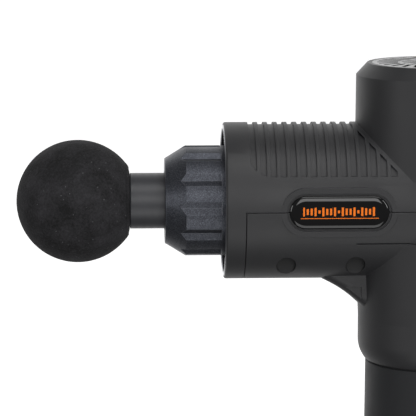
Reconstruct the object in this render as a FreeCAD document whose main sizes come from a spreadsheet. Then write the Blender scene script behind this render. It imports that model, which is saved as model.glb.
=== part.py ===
import FreeCAD, Part
import math
import os
import re
import Sketcher

# Massage gun, standing on its handle: +Z is up, the massage head points along -X.
# The origin is the middle of the handle's flat base; the handle and the motor share the Z axis.
# The barrel axis runs along X at the height axis_z.

os.makedirs("parts", exist_ok=True)
document = FreeCAD.newDocument("massage_gun")
sheet = document.addObject("Spreadsheet::Sheet", "dims")

# ---------------------------------------------------------------- driving dimensions (millimetres)

DIMENSIONS = [
    ("axis_z", 185.0, "height of the barrel axis above the base"),
    ("seam_gap", 0.3, "gap between neighbouring shells"),
    ("wall", 2.5, "shell wall"),
    # barrel
    ("barrel_radius", 32.0, "outside of the barrel"),
    ("barrel_reach", 86.0, "handle axis to the barrel's front"),
    ("ring_back", 78.0, "handle axis to the back of the front ring"),
    ("rim_round", 0.9, "rounding of the barrel's front edge"),
    ("trim_outer", 31.0, "outside of the chrome ring"),
    ("trim_depth", 1.6, "length of the chrome ring"),
    ("seam_drop", 0.5, "the seam lies this much below the barrel axis"),
    # motor housing, heights measured from the barrel axis
    ("housing_radius", 32.2, "housing at the barrel axis"),
    ("shoulder_radius", 31.8, "housing at its shoulder"),
    ("shoulder_up", 51.4, "barrel axis to the shoulder"),
    ("roof_radius", 27.3, "flat roof"),
    ("roof_up", 56.3, "barrel axis to the roof"),
    ("waist_radius", 30.2, "housing above its lower rim"),
    ("waist_down", 48.0, "barrel axis to the waist's top"),
    ("hem_down", 58.0, "barrel axis to the start of the rim's rounding"),
    ("hem_round", 12.5, "radius of the rim's rounding"),
    ("rim_down", 66.0, "barrel axis to the lower rim"),
    ("rim_radius", 27.3, "lower rim"),
    ("lip_radius", 25.3, "opening of the lower rim"),
    ("lip_height", 4.0, "length of the lower rim's lip"),
    # web under the barrel
    ("web_reach", 46.5, "handle axis to the web's front"),
    ("web_top_down", 31.4, "barrel axis to the web's front end"),
    ("web_foot", 30.4, "web at its foot, from the handle axis"),
    ("web_foot_down", 42.9, "barrel axis to the web's foot"),
    ("web_curve", 55.0, "radius of the web's hollow edge"),
    ("web_half", 12.5, "half the web's width"),
    ("web_round", 5.0, "rounding of the web's edges"),
    # grooves over the barrel
    ("groove_first", 75.0, "handle axis to the first groove"),
    ("groove_pitch", 4.0, "groove to groove"),
    ("groove_count", 15.0, "number of grooves"),
    ("groove_width", 2.45, "width of a groove"),
    ("groove_depth", 0.9, "depth of a groove"),
    ("groove_foot", 13.5, "barrel axis to the grooves' lower ends"),
    ("groove_corner", 10.0, "rounding of the grooved field's front corner"),
    ("groove_margin", 1.6, "plain strip along the housing"),
    # badges
    ("badge_middle", 41.0, "handle axis to the badge's middle"),
    ("badge_half", 13.3, "half the distance between the badge's arc centres"),
    ("badge_frame", 9.9, "arc radius of the raised frame"),
    ("badge_moat", 7.6, "arc radius of the recess"),
    ("badge_arc", 6.6, "arc radius of the badge"),
    ("badge_depth", 0.9, "depth of the recess"),
    ("badge_rise", 0.5, "height of the badge above its frame"),
    # shell screws
    ("screw_front", 61.5, "handle axis to the front screw"),
    ("screw_back", 33.5, "handle axis to the back screw"),
    ("screw_down", 23.6, "barrel axis to the screws"),
    ("pocket_radius", 4.0, "screw pocket"),
    ("plug_face", 17.6, "middle plane to the plug's face"),
    ("plug_length", 2.6, "thickness of a plug"),
    ("crease_drop", 13.7, "barrel axis down to the fine line on each flank"),
    ("crease_width", 0.5, "width of that line"),
    ("crease_depth", 1.0, "depth of that line"),
    ("crease_start", 34.0, "motor axis to the line's front end"),
    ("crease_turn", 13.0, "motor axis to where the line passes from barrel to housing"),
    ("crease_end", 8.0, "motor axis to the line's back end"),
    ("scoop_front", 37.0, "motor axis to the scoop's front corner"),
    ("scoop_back", 30.0, "motor axis to the scoop's upright edge"),
    ("scoop_top", 34.2, "barrel axis down to the scoop's top edge"),
    ("scoop_tip", 39.4, "barrel axis down to the scoop's lowest corner"),
    ("scoop_depth", 0.9, "depth of the scoop in the web's flank"),
    ("boss_wall", 1.3, "wall of a screw boss"),
    ("screw_seat", 12.0, "middle plane to the screw head's seat"),
    ("screw_head", 2.9, "radius of the screw head"),
    ("screw_shank", 1.5, "radius of the screw's shank"),
    ("screw_reach", 10.0, "length of shank beyond the middle plane"),
    # nose collar
    ("nose_front", 110.0, "handle axis to the nose's face"),
    ("nose_face", 17.6, "radius of the nose's face"),
    ("nose_shoulder", 101.6, "handle axis to the nose's shoulder"),
    ("nose_radius", 22.5, "outside of the nose"),
    ("nose_back", 76.0, "handle axis to the nose's back"),
    ("nose_mouth", 12.4, "opening of the nose"),
    ("nose_lip", 4.0, "thickness of the nose's front"),
    ("flute_count", 12.0, "number of flutes"),
    ("flute_width", 5.6, "width of a flute"),
    ("flute_depth", 1.3, "depth of a flute"),
    ("flute_end", 87.3, "handle axis to the flutes' square ends"),
    # guide, piston and head
    ("guide_radius", 16.0, "outside of the guide sleeve"),
    ("guide_front", 97.0, "handle axis to the guide's front"),
    ("guide_back", 62.0, "handle axis to the guide's back"),
    ("running_gap", 0.05, "running clearance on a radius"),
    ("piston_radius", 11.0, "outside of the piston"),
    ("piston_front", 100.0, "handle axis to the retracted piston's front"),
    ("piston_back", 27.0, "handle axis to the retracted piston's back"),
    ("socket_radius", 8.5, "socket in the piston"),
    ("socket_depth", 25.0, "depth of the socket"),
    ("stem_radius", 11.4, "neck of the massage head"),
    ("ball_radius", 25.0, "foam ball"),
    ("ball_middle", 145.4, "handle axis to the ball's centre"),
    ("ball_flat", 124.2, "handle axis to the ball's flat"),
    ("ball_corner", 3.0, "rounding between flat and ball"),
    ("spigot_radius", 8.0, "core inside the ball"),
    ("spigot_end", 150.0, "handle axis to the core's end"),
    # crank
    ("crank_throw", 6.0, "motor axis to crank pin"),
    ("rod_length", 40.0, "crank pin to wrist pin"),
    ("rod_half", 3.0, "half the rod's thickness"),
    ("pin_radius", 4.0, "crank pin"),
    ("wrist_radius", 3.0, "wrist pin"),
    # motor, heights measured from the barrel axis
    ("plate_up", 10.0, "barrel axis to the frame's plate"),
    ("plate_thick", 3.0, "frame's plate"),
    ("plate_radius", 26.5, "frame's plate"),
    ("tube_radius", 6.5, "bearing tube"),
    ("tube_top", 34.0, "barrel axis to the bearing tube's end"),
    ("bearing_radius", 5.0, "motor bearing"),
    ("bearing_height", 4.0, "motor bearing"),
    ("shaft_radius", 2.5, "motor shaft"),
    ("shaft_low", 5.3, "barrel axis to the shaft's lower end"),
    ("shaft_high", 50.0, "barrel axis to the shaft's upper end"),
    ("stator_low", 17.0, "barrel axis to the laminations"),
    ("stator_high", 32.0, "barrel axis to the laminations' top"),
    ("stator_radius", 15.6, "laminations"),
    ("tooth_count", 12.0, "stator teeth"),
    ("can_radius", 19.5, "rotor can"),
    ("can_wall", 1.5, "rotor can"),
    ("can_low", 15.2, "barrel axis to the can's open end"),
    ("can_high", 38.0, "barrel axis to the can's top"),
    ("fan_radius", 18.5, "cooling fan"),
    ("fan_low", 42.5, "barrel axis to the fan"),
    ("fan_height", 6.5, "cooling fan"),
    # control panel on the back of the housing
    ("panel_half", 12.5, "half the panel's width"),
    ("panel_low", 5.5, "barrel axis to the panel's lower edge"),
    ("panel_high", 46.5, "barrel axis to the panel's upper edge"),
    ("panel_outer", 31.7, "panel's curved face"),
    ("panel_inner", 29.6, "panel's inner face"),
    ("display_up", 36.5, "barrel axis to the display"),
    ("display_half_width", 8.0, "display"),
    ("display_half_height", 6.0, "display"),
    ("display_face", 30.2, "handle axis to the display's glass"),
    ("power_up", 22.5, "barrel axis to the power button"),
    ("power_radius", 4.8, "power button"),
    ("step_up", 11.5, "barrel axis to the plus and minus buttons"),
    ("step_aside", 5.6, "middle plane to the plus and minus buttons"),
    ("step_radius", 3.9, "plus and minus buttons"),
    ("button_gap", 0.3, "gap round a button"),
    ("button_back", 26.2, "handle axis to the buttons' back"),
    ("board_face", 23.2, "handle axis to the control board's face"),
    ("board_thick", 1.4, "circuit boards"),
    # handle and battery
    ("grip_low", 34.3, "grip sleeve's lower end"),
    ("grip_top_radius", 27.0, "grip sleeve's upper end"),
    ("grip_low_radius", 27.6, "grip sleeve's lower end"),
    ("core_radius", 25.0, "handle core"),
    ("core_wall", 2.0, "handle core"),
    ("core_top", 133.0, "handle core's upper end"),
    ("cap_height", 34.0, "base cap"),
    ("cap_radius", 27.8, "base cap"),
    ("cap_round", 1.5, "rounding of the base's edge"),
    ("cap_floor", 3.0, "base cap's floor"),
    ("cap_bore", 23.3, "inside of the base cap"),
    ("facet_x", 25.7, "handle axis to the flat at the back of the base cap"),
    ("switch_z", 21.4, "rocker switch"),
    ("jack_z", 8.8, "charging jack"),
    ("jack_radius", 4.2, "charging jack"),
    ("jack_bore", 2.8, "opening of the charging jack"),
    ("cell_radius", 9.1, "battery cell"),
    ("cell_length", 65.0, "battery cell"),
    ("cell_circle", 10.9, "handle axis to a cell's axis"),
    ("cell_low", 12.0, "lower end of the lower cells"),
    ("cell_space", 2.0, "space between the two layers of cells"),
]

for row, (alias, size, note) in enumerate(DIMENSIONS, start=1):
    sheet.set(f"A{row}", alias)
    sheet.set(f"B{row}", str(size))
    sheet.set(f"C{row}", note)
    sheet.setAlias(f"B{row}", alias)
document.recompute()

# ---------------------------------------------------------------- helpers

FUNCTIONS = ("sqrt", "sin", "cos", "tan")
UPWARD = FreeCAD.Vector(0, 0, 1)


def linked(text):
    """Turn plain words in a formula into references to the sheet."""
    def reference(match):
        word = match.group(0)
        return word if word in FUNCTIONS else "dims." + word
    return re.sub(r"[A-Za-z_]\w*", reference, str(text))


def number(text):
    """The present value of a formula."""
    return float(sheet.evalExpression(linked(text)))


def bind(item, property_name, text):
    """Bind a property to a formula, unless the formula is a plain number."""
    item.setExpression(property_name, linked(text))


def new_body(name, height="0"):
    body = document.addObject("PartDesign::Body", name)
    bind(body, "Placement.Base.z", height)
    return body


def origin_feature(body, role):
    return next(item for item in body.Origin.OriginFeatures if item.Role == role)


def arc_through(start, end, radius, turn):
    """Arc from start to end; turn is 1 for anticlockwise and -1 for clockwise."""
    first = start if turn > 0 else end
    last = end if turn > 0 else start
    middle = (first + last) * 0.5
    half = (last - first) * 0.5
    rise = math.sqrt(max(radius ** 2 - half.Length ** 2, 0.0))
    normal = FreeCAD.Vector(-half.y, half.x, 0).normalize()
    centre = middle + normal * rise
    circle = Part.Circle(centre, FreeCAD.Vector(0, 0, 1), radius)
    begin = math.atan2(first.y - centre.y, first.x - centre.x)
    finish = math.atan2(last.y - centre.y, last.x - centre.x)
    return Part.ArcOfCircle(circle, begin, finish)


def draw(body, name, plane, loops=(), circles=(), offset=None):
    """Sketch closed loops of corners and circles (x, y, radius).

    A corner is (x, y), reached by a straight line, or (x, y, arc radius, turn), reached by an arc.
    A half-round arc gives its centre's x as well, because its ends already fix its radius.
    """
    sketch = body.newObject("Sketcher::SketchObject", name)
    sketch.AttachmentSupport = [(origin_feature(body, plane + "_Plane"), "")]
    sketch.MapMode = "FlatFace"
    if offset is not None:
        bind(sketch, "AttachmentOffset.Base.z", offset)

    def fix(kind, geometry, point, text):
        index = sketch.addConstraint(Sketcher.Constraint(kind, -1, 1, geometry, point, number(text)))
        sketch.setExpression(f"Constraints[{index}]", linked(text))

    def fix_radius(geometry, text):
        index = sketch.addConstraint(Sketcher.Constraint("Radius", geometry, number(text)))
        sketch.setExpression(f"Constraints[{index}]", linked(text))

    for loop in loops:
        corners = [FreeCAD.Vector(number(corner[0]), number(corner[1]), 0) for corner in loop]
        ends = []
        for index, corner in enumerate(loop):
            following = loop[(index + 1) % len(loop)]
            start = corners[index]
            end = corners[(index + 1) % len(loop)]
            if len(following) > 2:
                turn = following[3]
                geometry = sketch.addGeometry(arc_through(start, end, number(following[2]), turn))
                if len(following) == 4:
                    fix_radius(geometry, following[2])
                else:
                    fix("DistanceX", geometry, 3, following[4])
                ends.append((geometry, 1, 2) if turn > 0 else (geometry, 2, 1))
            else:
                geometry = sketch.addGeometry(Part.LineSegment(start, end))
                ends.append((geometry, 1, 2))
        for index, (geometry, start, end) in enumerate(ends):
            following = ends[(index + 1) % len(ends)]
            sketch.addConstraint(Sketcher.Constraint("Coincident", geometry, end, following[0], following[1]))
            fix("DistanceX", geometry, start, loop[index][0])
            fix("DistanceY", geometry, start, loop[index][1])
    for x, y, radius in circles:
        centre = FreeCAD.Vector(number(x), number(y), 0)
        geometry = sketch.addGeometry(Part.Circle(centre, FreeCAD.Vector(0, 0, 1), number(radius)))
        fix("DistanceX", geometry, 3, x)
        fix("DistanceY", geometry, 3, y)
        fix_radius(geometry, radius)
    return sketch


def revolve(body, name, sketch, axis, cut=False):
    """Turn a sketch about its horizontal (H_Axis) or vertical (V_Axis) axis."""
    kind = "PartDesign::Groove" if cut else "PartDesign::Revolution"
    feature = body.newObject(kind, name)
    feature.Profile = sketch
    feature.ReferenceAxis = (sketch, [axis])
    feature.Angle = 360
    body.Tip = feature
    return feature


def extrude(body, name, sketch, length, cut=False, both_ways=False, reverse=False):
    """Pad or pocket a sketch by a bound length."""
    kind = "PartDesign::Pocket" if cut else "PartDesign::Pad"
    feature = body.newObject(kind, name)
    feature.Profile = sketch
    bind(feature, "Length", length)
    feature.SideType = "Symmetric" if both_ways else "One side"
    feature.Reversed = reverse
    body.Tip = feature
    return feature


def polar(body, name, features, axis, count):
    pattern = body.newObject("PartDesign::PolarPattern", name)
    pattern.Originals = features
    pattern.Axis = (origin_feature(body, axis + "_Axis"), [""])
    pattern.Angle = 360
    bind(pattern, "Occurrences", count)
    body.Tip = pattern
    return pattern


def turned_x(name, outline):
    """A body turned about the barrel axis; the outline is given as (x, radius)."""
    body = new_body(name, "axis_z")
    revolve(body, name + "_turn", draw(body, name + "_outline", "XZ", [outline]), "H_Axis")
    return body


def turned_z(name, outline, height="axis_z"):
    """A body turned about the handle axis; the outline is given as (radius, z)."""
    body = new_body(name, height)
    revolve(body, name + "_turn", draw(body, name + "_outline", "XZ", [outline]), "V_Axis")
    return body


def ring_x(name, inner, outer, start, end):
    """A plain ring about the barrel axis."""
    return turned_x(name, [(start, inner), (start, outer), (end, outer), (end, inner)])


def ring_z(name, inner, outer, low, high, height="axis_z"):
    """A plain ring about the handle axis."""
    return turned_z(name, [(inner, low), (outer, low), (outer, high), (inner, high)], height)


ALONG = {
    "X": FreeCAD.Rotation(FreeCAD.Vector(0, 1, 0), 90),
    "Y": FreeCAD.Rotation(FreeCAD.Vector(1, 0, 0), -90),
    "Z": FreeCAD.Rotation(),
}


def place(item, x, y, z):
    bind(item, "Placement.Base.x", x)
    bind(item, "Placement.Base.y", y)
    bind(item, "Placement.Base.z", z)


def cylinder(name, axis, radius, length, x, y, z):
    item = document.addObject("Part::Cylinder", name)
    item.Placement = FreeCAD.Placement(FreeCAD.Vector(), ALONG[axis])
    bind(item, "Radius", radius)
    bind(item, "Height", length)
    place(item, x, y, z)
    return item


def box(name, x, y, z, length, width, height):
    item = document.addObject("Part::Box", name)
    bind(item, "Length", length)
    bind(item, "Width", width)
    bind(item, "Height", height)
    place(item, x, y, z)
    return item


def fuse(name, items):
    result = document.addObject("Part::MultiFuse", name)
    result.Shapes = items
    result.Refine = True
    return result


def cut(name, base, tools):
    result = document.addObject("Part::Cut", name)
    result.Base = base
    result.Tool = tools[0] if len(tools) == 1 else fuse(name + "_tools", tools)
    result.Refine = True
    return result


def common(name, items):
    result = document.addObject("Part::MultiCommon", name)
    result.Shapes = items
    result.Refine = True
    return result


def group(name, items):
    result = document.addObject("Part::Compound", name)
    result.Links = items
    return result


def stadium(middle, half, level, radius):
    """Corners of a shape with two straight sides and two half-round ends."""
    left = f"{middle} - {half}"
    right = f"{middle} + {half}"
    low = f"{level} - {radius}"
    high = f"{level} + {radius}"
    return [(left, high), (left, low, radius, 1, left), (right, low), (right, high, radius, 1, right)]


def rounded_rectangle(left, low, right, high, corner):
    """Corners of a rectangle with four quarter-round corners, anticlockwise."""
    return [
        (f"{left} + {corner}", low, corner, 1),
        (f"{right} - {corner}", low),
        (right, f"{low} + {corner}", corner, 1),
        (right, f"{high} - {corner}"),
        (f"{right} - {corner}", high, corner, 1),
        (f"{left} + {corner}", high),
        (left, f"{high} - {corner}", corner, 1),
        (left, f"{low} + {corner}"),
    ]


nodes = []


def keep(item):
    """Hand a finished sub-part in under its own name."""
    nodes.append(item)
    return item


# ---------------------------------------------------------------- casing


def casing_outside():
    """Barrel, motor housing, web and badge frames as one solid."""
    barrel = turned_x("barrel_solid", [
        ("-barrel_reach", "0"),
        ("-barrel_reach", "barrel_radius - rim_round"),
        ("-barrel_reach + rim_round", "barrel_radius", "rim_round", -1),
        ("0", "barrel_radius"),
        ("0", "0"),
    ])
    housing = turned_z("housing_solid", [
        ("0", "-rim_down"),
        ("rim_radius", "-rim_down"),
        ("waist_radius", "-hem_down", "hem_round", 1),
        ("waist_radius", "-waist_down"),
        ("housing_radius", "0"),
        ("shoulder_radius", "shoulder_up"),
        ("roof_radius", "roof_up"),
        ("0", "roof_up"),
    ])
    flare = turned_z("web_flare", [
        ("0", "-web_foot_down"),
        ("web_foot", "-web_foot_down"),
        ("web_reach", "-web_top_down", "web_curve", -1),
        ("web_reach", "-web_top_down + 6"),
        ("0", "-web_top_down + 6"),
    ])
    slab = box("web_slab", "-web_reach - 1", "-web_half", "axis_z - web_foot_down - 1",
               "web_reach + 1", "2 * web_half", "web_foot_down")
    web = common("web_sharp", [flare, slab])
    document.recompute()
    edges = []
    for index, edge in enumerate(web.Shape.Edges, start=1):
        middle = edge.valueAt((edge.FirstParameter + edge.LastParameter) / 2)
        on_side = abs(abs(middle.y) - number("web_half")) < 0.01
        below = middle.z - number("axis_z") < -number("web_top_down") - 0.5
        in_front = middle.x < -number("web_foot") + 5
        if on_side and below and in_front and edge.Length > 5:
            edges.append((index, number("web_round"), number("web_round")))
    soft_web = document.addObject("Part::Fillet", "web_soft")
    soft_web.Base = web
    soft_web.Edges = edges
    frames = new_body("badge_frames", "axis_z")
    outline = draw(frames, "badge_frame_outline", "XZ",
                   [stadium("-badge_middle", "badge_half", "-seam_drop", "badge_frame")])
    extrude(frames, "badge_frame_pad", outline, "2 * barrel_radius", both_ways=True)
    return barrel, fuse("casing_outside", [barrel, housing, soft_web, frames])


def casing_inside():
    """The room for the mechanism: everything that is taken out of the casing."""
    bore = turned_x("barrel_room", [
        ("-barrel_reach - 1", "0"),
        ("-barrel_reach - 1", "trim_outer + 0.05"),
        ("-barrel_reach + trim_depth", "trim_outer + 0.05"),
        ("-barrel_reach + trim_depth", "barrel_radius - wall"),
        ("0", "barrel_radius - wall"),
        ("0", "0"),
    ])
    room = turned_z("housing_room", [
        ("0", "-rim_down - 1"),
        ("lip_radius", "-rim_down - 1"),
        ("lip_radius", "-rim_down + lip_height"),
        ("waist_radius - wall - 0.5", "-rim_down + lip_height + 2.4"),
        ("waist_radius - wall", "-waist_down"),
        ("housing_radius - wall", "0"),
        ("shoulder_radius - wall", "shoulder_up - 1"),
        ("23.5", "roof_up - 2.3"),
        ("23.5", "roof_up - 1.8"),
        ("25.4", "roof_up - 1.8"),
        ("25.4", "roof_up + 1"),
        ("0", "roof_up + 1"),
    ])
    moats = []
    for side, label in ((-1, "left"), (1, "right")):
        moat = new_body(f"{label}_moat", "axis_z")
        outline = draw(moat, f"{label}_moat_outline", "XZ",
                       [stadium("-badge_middle", "badge_half", "-seam_drop", "badge_moat")],
                       offset=f"{-side} * (barrel_radius - badge_depth)")
        extrude(moat, f"{label}_moat_pad", outline, "badge_depth + 1", reverse=side > 0)
        moats.append(moat)
    return [bore, room] + moats


def screw_bosses(barrel):
    """Left pillars with a pocket for the screw head and right pillars with a pilot hole."""
    pillars = []
    holes = []
    for name, reach in (("front", "screw_front"), ("back", "screw_back")):
        x = f"-{reach}"
        z = "axis_z - screw_down"
        pillars.append(cylinder(f"{name}_left_pillar", "Y", "pocket_radius + boss_wall",
                                "barrel_radius - seam_gap", x, "-barrel_radius", z))
        pillars.append(cylinder(f"{name}_right_pillar", "Y", "pocket_radius",
                                "barrel_radius - seam_gap", x, "seam_gap", z))
        holes.append(cylinder(f"{name}_pocket", "Y", "pocket_radius",
                              "barrel_radius - screw_seat", x, "-barrel_radius", z))
        holes.append(cylinder(f"{name}_screw_hole", "Y", "screw_shank + 0.1",
                              "screw_seat + screw_reach + 2", x, "-screw_seat - 1", z))
    inside = common("screw_pillars", [fuse("screw_pillars_long", pillars), barrel])
    return inside, holes


def groove_cutter():
    """Rings round the barrel, kept only inside the grooved field."""
    rings = new_body("groove_rings", "axis_z")
    left = "-groove_first - groove_width / 2"
    right = "-groove_first + groove_width / 2"
    inner = "barrel_radius - groove_depth"
    outer = "barrel_radius + 1"
    corners = [(left, inner), (left, outer), (right, outer), (right, inner)]
    profile = draw(rings, "groove_profile", "XZ", [corners])
    first = revolve(rings, "groove_turn", profile, "H_Axis")
    row = rings.newObject("PartDesign::LinearPattern", "groove_row")
    row.Originals = [first]
    row.Direction = (origin_feature(rings, "X_Axis"), [""])
    bind(row, "Length", "groove_pitch * (groove_count - 1)")
    bind(row, "Occurrences", "groove_count")
    rings.AllowCompound = True
    rings.Tip = row

    field = new_body("groove_field", "axis_z")
    front = "-groove_first - groove_width"
    foot = "groove_foot"
    strip = "groove_margin * 1.414"
    top = "barrel_radius + 2"
    outline = draw(field, "groove_field_outline", "XZ", [[
        (f"{front} + groove_corner", foot),
        (f"-{foot} - {strip}", foot),
        (f"-barrel_radius - 2 - {strip}", top),
        (front, top),
        (front, f"{foot} + groove_corner"),
    ]])
    extrude(field, "groove_field_pad", outline, "2 * barrel_radius + 4", both_ways=True)
    corner = cylinder("groove_field_corner", "Y", "groove_corner", "2 * barrel_radius + 4",
                      f"{front} + groove_corner", "-barrel_radius - 2", f"axis_z + {foot} + groove_corner")
    return common("grooves", [rings, fuse("groove_field_round", [field, corner])])


def panel_opening(name, margin, inner, outer):
    """A curved window in the back of the housing, with round corners."""
    window = new_body(name + "_window", "axis_z")
    outline = draw(window, name + "_window_outline", "YZ", [
        rounded_rectangle(f"-panel_half - {margin}", f"panel_low - {margin}",
                          f"panel_half + {margin}", f"panel_high + {margin}", "4"),
    ])
    extrude(window, name + "_window_pad", outline, "housing_radius + 2")
    ring = ring_z(name + "_ring", inner, outer, "0", "shoulder_up")
    return common(name, [window, ring])


def crease_cutter():
    """A fine line along each flank of the lower shells, running back onto the housing."""
    low = "axis_z - crease_drop - crease_width / 2"
    front_slab = box("crease_front_slab", "-crease_start", "-60", low,
                     "crease_start - crease_turn", "120", "crease_width")
    back_slab = box("crease_back_slab", "-crease_turn", "-60", low,
                    "crease_turn - crease_end", "120", "crease_width")
    barrel_skin = ring_x("crease_barrel_skin", "barrel_radius - crease_depth", "barrel_radius + 1",
                         "-crease_start - 1", "0")
    taper = "(housing_radius - waist_radius) * crease_drop / waist_down"
    housing_skin = ring_z("crease_housing_skin", f"housing_radius - {taper} - crease_depth",
                          "housing_radius + 1", "-crease_drop - 2", "-crease_drop + 2")
    on_barrel = common("crease_on_barrel", [front_slab, barrel_skin])
    on_housing = common("crease_on_housing", [back_slab, housing_skin])
    return fuse("crease", [on_barrel, on_housing])


def scoop_cutter():
    """A shallow three-cornered scoop in each flank of the web."""
    block = new_body("scoop_block", "axis_z")
    outline = draw(block, "scoop_outline", "XZ", [[
        ("-scoop_front", "-scoop_top"),
        ("-scoop_back", "-scoop_tip"),
        ("-scoop_back", "-scoop_top"),
    ]])
    extrude(block, "scoop_pad", outline, "2 * web_half + 4", both_ways=True)
    middle = box("scoop_middle", "-scoop_front - 1", "-web_half + scoop_depth", "axis_z - scoop_tip - 1",
                 "scoop_front", "2 * (web_half - scoop_depth)", "scoop_tip")
    return cut("scoop", block, [middle])


def shells():
    barrel, outside = casing_outside()
    pillars, holes = screw_bosses(barrel)
    hollow = cut("casing_hollow", outside, casing_inside())
    blank = cut("casing_blank", fuse("casing_with_pillars", [hollow, pillars]), holes)
    far = "(barrel_reach + 40)"
    upper_half = box("upper_half", f"-{far}", "-60", "axis_z - seam_drop + seam_gap / 2",
                     f"{far} + 60", "120", "80")
    front_ring = box("front_ring_block", f"-{far}", "-60", "axis_z - 60",
                     f"{far} - ring_back - seam_gap / 2", "120", "90")
    window = panel_opening("panel_cutout", "button_gap", "panel_inner - 3", "housing_radius + 2")
    upper = common("upper_shell_plain", [blank, fuse("upper_zone", [upper_half, front_ring])])
    keep(cut("upper_shell", upper, [groove_cutter(), window]))
    low = "axis_z - rim_down - 5"
    height = "rim_down + 5 - seam_drop - seam_gap / 2"
    back = "-ring_back + seam_gap / 2"
    depth = "ring_back + 60"
    left_zone = box("left_zone", back, "-60", low, depth, "60 - seam_gap / 2", height)
    right_zone = box("right_zone", back, "seam_gap / 2", low, depth, "60", height)
    reliefs = [crease_cutter(), scoop_cutter()]
    keep(cut("left_lower_shell", common("left_lower_plain", [blank, left_zone]), reliefs))
    keep(cut("right_lower_shell", common("right_lower_plain", [blank, right_zone]), reliefs))


def badges():
    """A glossy domed plate in each recess."""
    for side, label in ((-1, "left"), (1, "right")):
        plate = new_body(f"badge_{label}", "axis_z")
        outline = draw(plate, f"badge_{label}_outline", "XZ",
                       [stadium("-badge_middle", "badge_half", "-seam_drop", "badge_arc")],
                       offset=f"{-side} * (barrel_radius - badge_depth + 0.05)")
        extrude(plate, f"badge_{label}_pad", outline, "badge_depth + badge_rise", reverse=side > 0)
        keep(plate)


def screws_and_plugs():
    screws = []
    plugs = []
    for name, reach in (("front", "screw_front"), ("back", "screw_back")):
        x = f"-{reach}"
        z = "axis_z - screw_down"
        head = cylinder(f"{name}_screw_head", "Y", "screw_head", "2.4", x, "-screw_seat - 2.4", z)
        shank = cylinder(f"{name}_screw_shank", "Y", "screw_shank", "screw_seat + screw_reach",
                         x, "-screw_seat", z)
        drive = cylinder(f"{name}_screw_drive", "Y", "1.3", "1.4", x, "-screw_seat - 2.5", z)
        screws.append(cut(f"{name}_screw", fuse(f"{name}_screw_solid", [head, shank]), [drive]))
        plugs.append(cylinder(f"{name}_plug", "Y", "pocket_radius - 0.05", "plug_length", x, "-plug_face", z))
    keep(group("shell_screws", screws))
    keep(group("screw_plugs", plugs))


def front_pieces():
    """Chrome ring, fluted nose collar and the rubber ring that carries the nose."""
    front = "-barrel_reach - 0.25"
    keep(turned_x("front_trim_ring", [
        (f"{front} + 0.4", "barrel_radius - wall + 0.1"),
        (front, "barrel_radius - wall + 0.5"),
        (front, "trim_outer - 0.4"),
        (f"{front} + 0.4", "trim_outer"),
        ("-barrel_reach + trim_depth - 0.05", "trim_outer"),
        ("-barrel_reach + trim_depth - 0.05", "barrel_radius - wall + 0.1"),
    ]))
    nose = turned_x("nose_collar", [
        ("-nose_front", "nose_mouth"),
        ("-nose_front", "nose_face - 0.4"),
        ("-nose_front + 0.4", "nose_face", "0.4", -1),
        ("-nose_shoulder", "nose_radius"),
        ("-nose_back", "nose_radius"),
        ("-nose_back", "guide_radius + running_gap"),
        ("-nose_front + nose_lip", "guide_radius + running_gap"),
        ("-nose_front + nose_lip", "nose_mouth"),
    ])
    flute = draw(nose, "flute_outline", "YZ", [[
        ("-flute_width / 2 - 0.4", "nose_radius + 0.05"),
        ("0", "nose_radius - flute_depth"),
        ("flute_width / 2 + 0.4", "nose_radius + 0.05"),
        ("0", "nose_radius + 2"),
    ]], offset="-flute_end")
    groove = extrude(nose, "flute_cut", flute, "nose_front - flute_end + 5", cut=True)
    polar(nose, "flutes", [groove], "X", "flute_count")
    keep(nose)
    keep(ring_x("front_damping_ring", "nose_radius + 0.1", "barrel_radius - wall - 0.1",
                "-nose_back - 4", "-nose_back + 1"))


def roof_pieces():
    """Vent cap with two rings of slanted slots, and the dust filter under it."""
    cap = ring_z("top_vent_cap", "3.2", "25.3", "roof_up - 1.7", "roof_up")
    for name, inner, outer, width, count in (
        ("inner_vents", 6.0, 13.0, 0.9, "14"),
        ("outer_vents", 14.8, 23.0, 1.1, "26"),
    ):
        slant = (outer - inner) * 0.45
        outline = draw(cap, name + "_outline", "XY", [[
            (f"{inner}", f"-{width}"),
            (f"{outer}", f"{slant - width}"),
            (f"{outer}", f"{slant + width}"),
            (f"{inner}", f"{width}"),
        ]], offset="roof_up + 1")
        slot = extrude(cap, name + "_cut", outline, "4", cut=True)
        polar(cap, name, [slot], "Z", count)
    keep(cap)
    keep(ring_z("vent_centre_plug", "0.6", "3.1", "roof_up - 1.7", "roof_up + 0.1"))
    keep(ring_z("vent_dust_filter", "2", "23.2", "roof_up - 2.6", "roof_up - 1.95"))


# ---------------------------------------------------------------- drive


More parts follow.
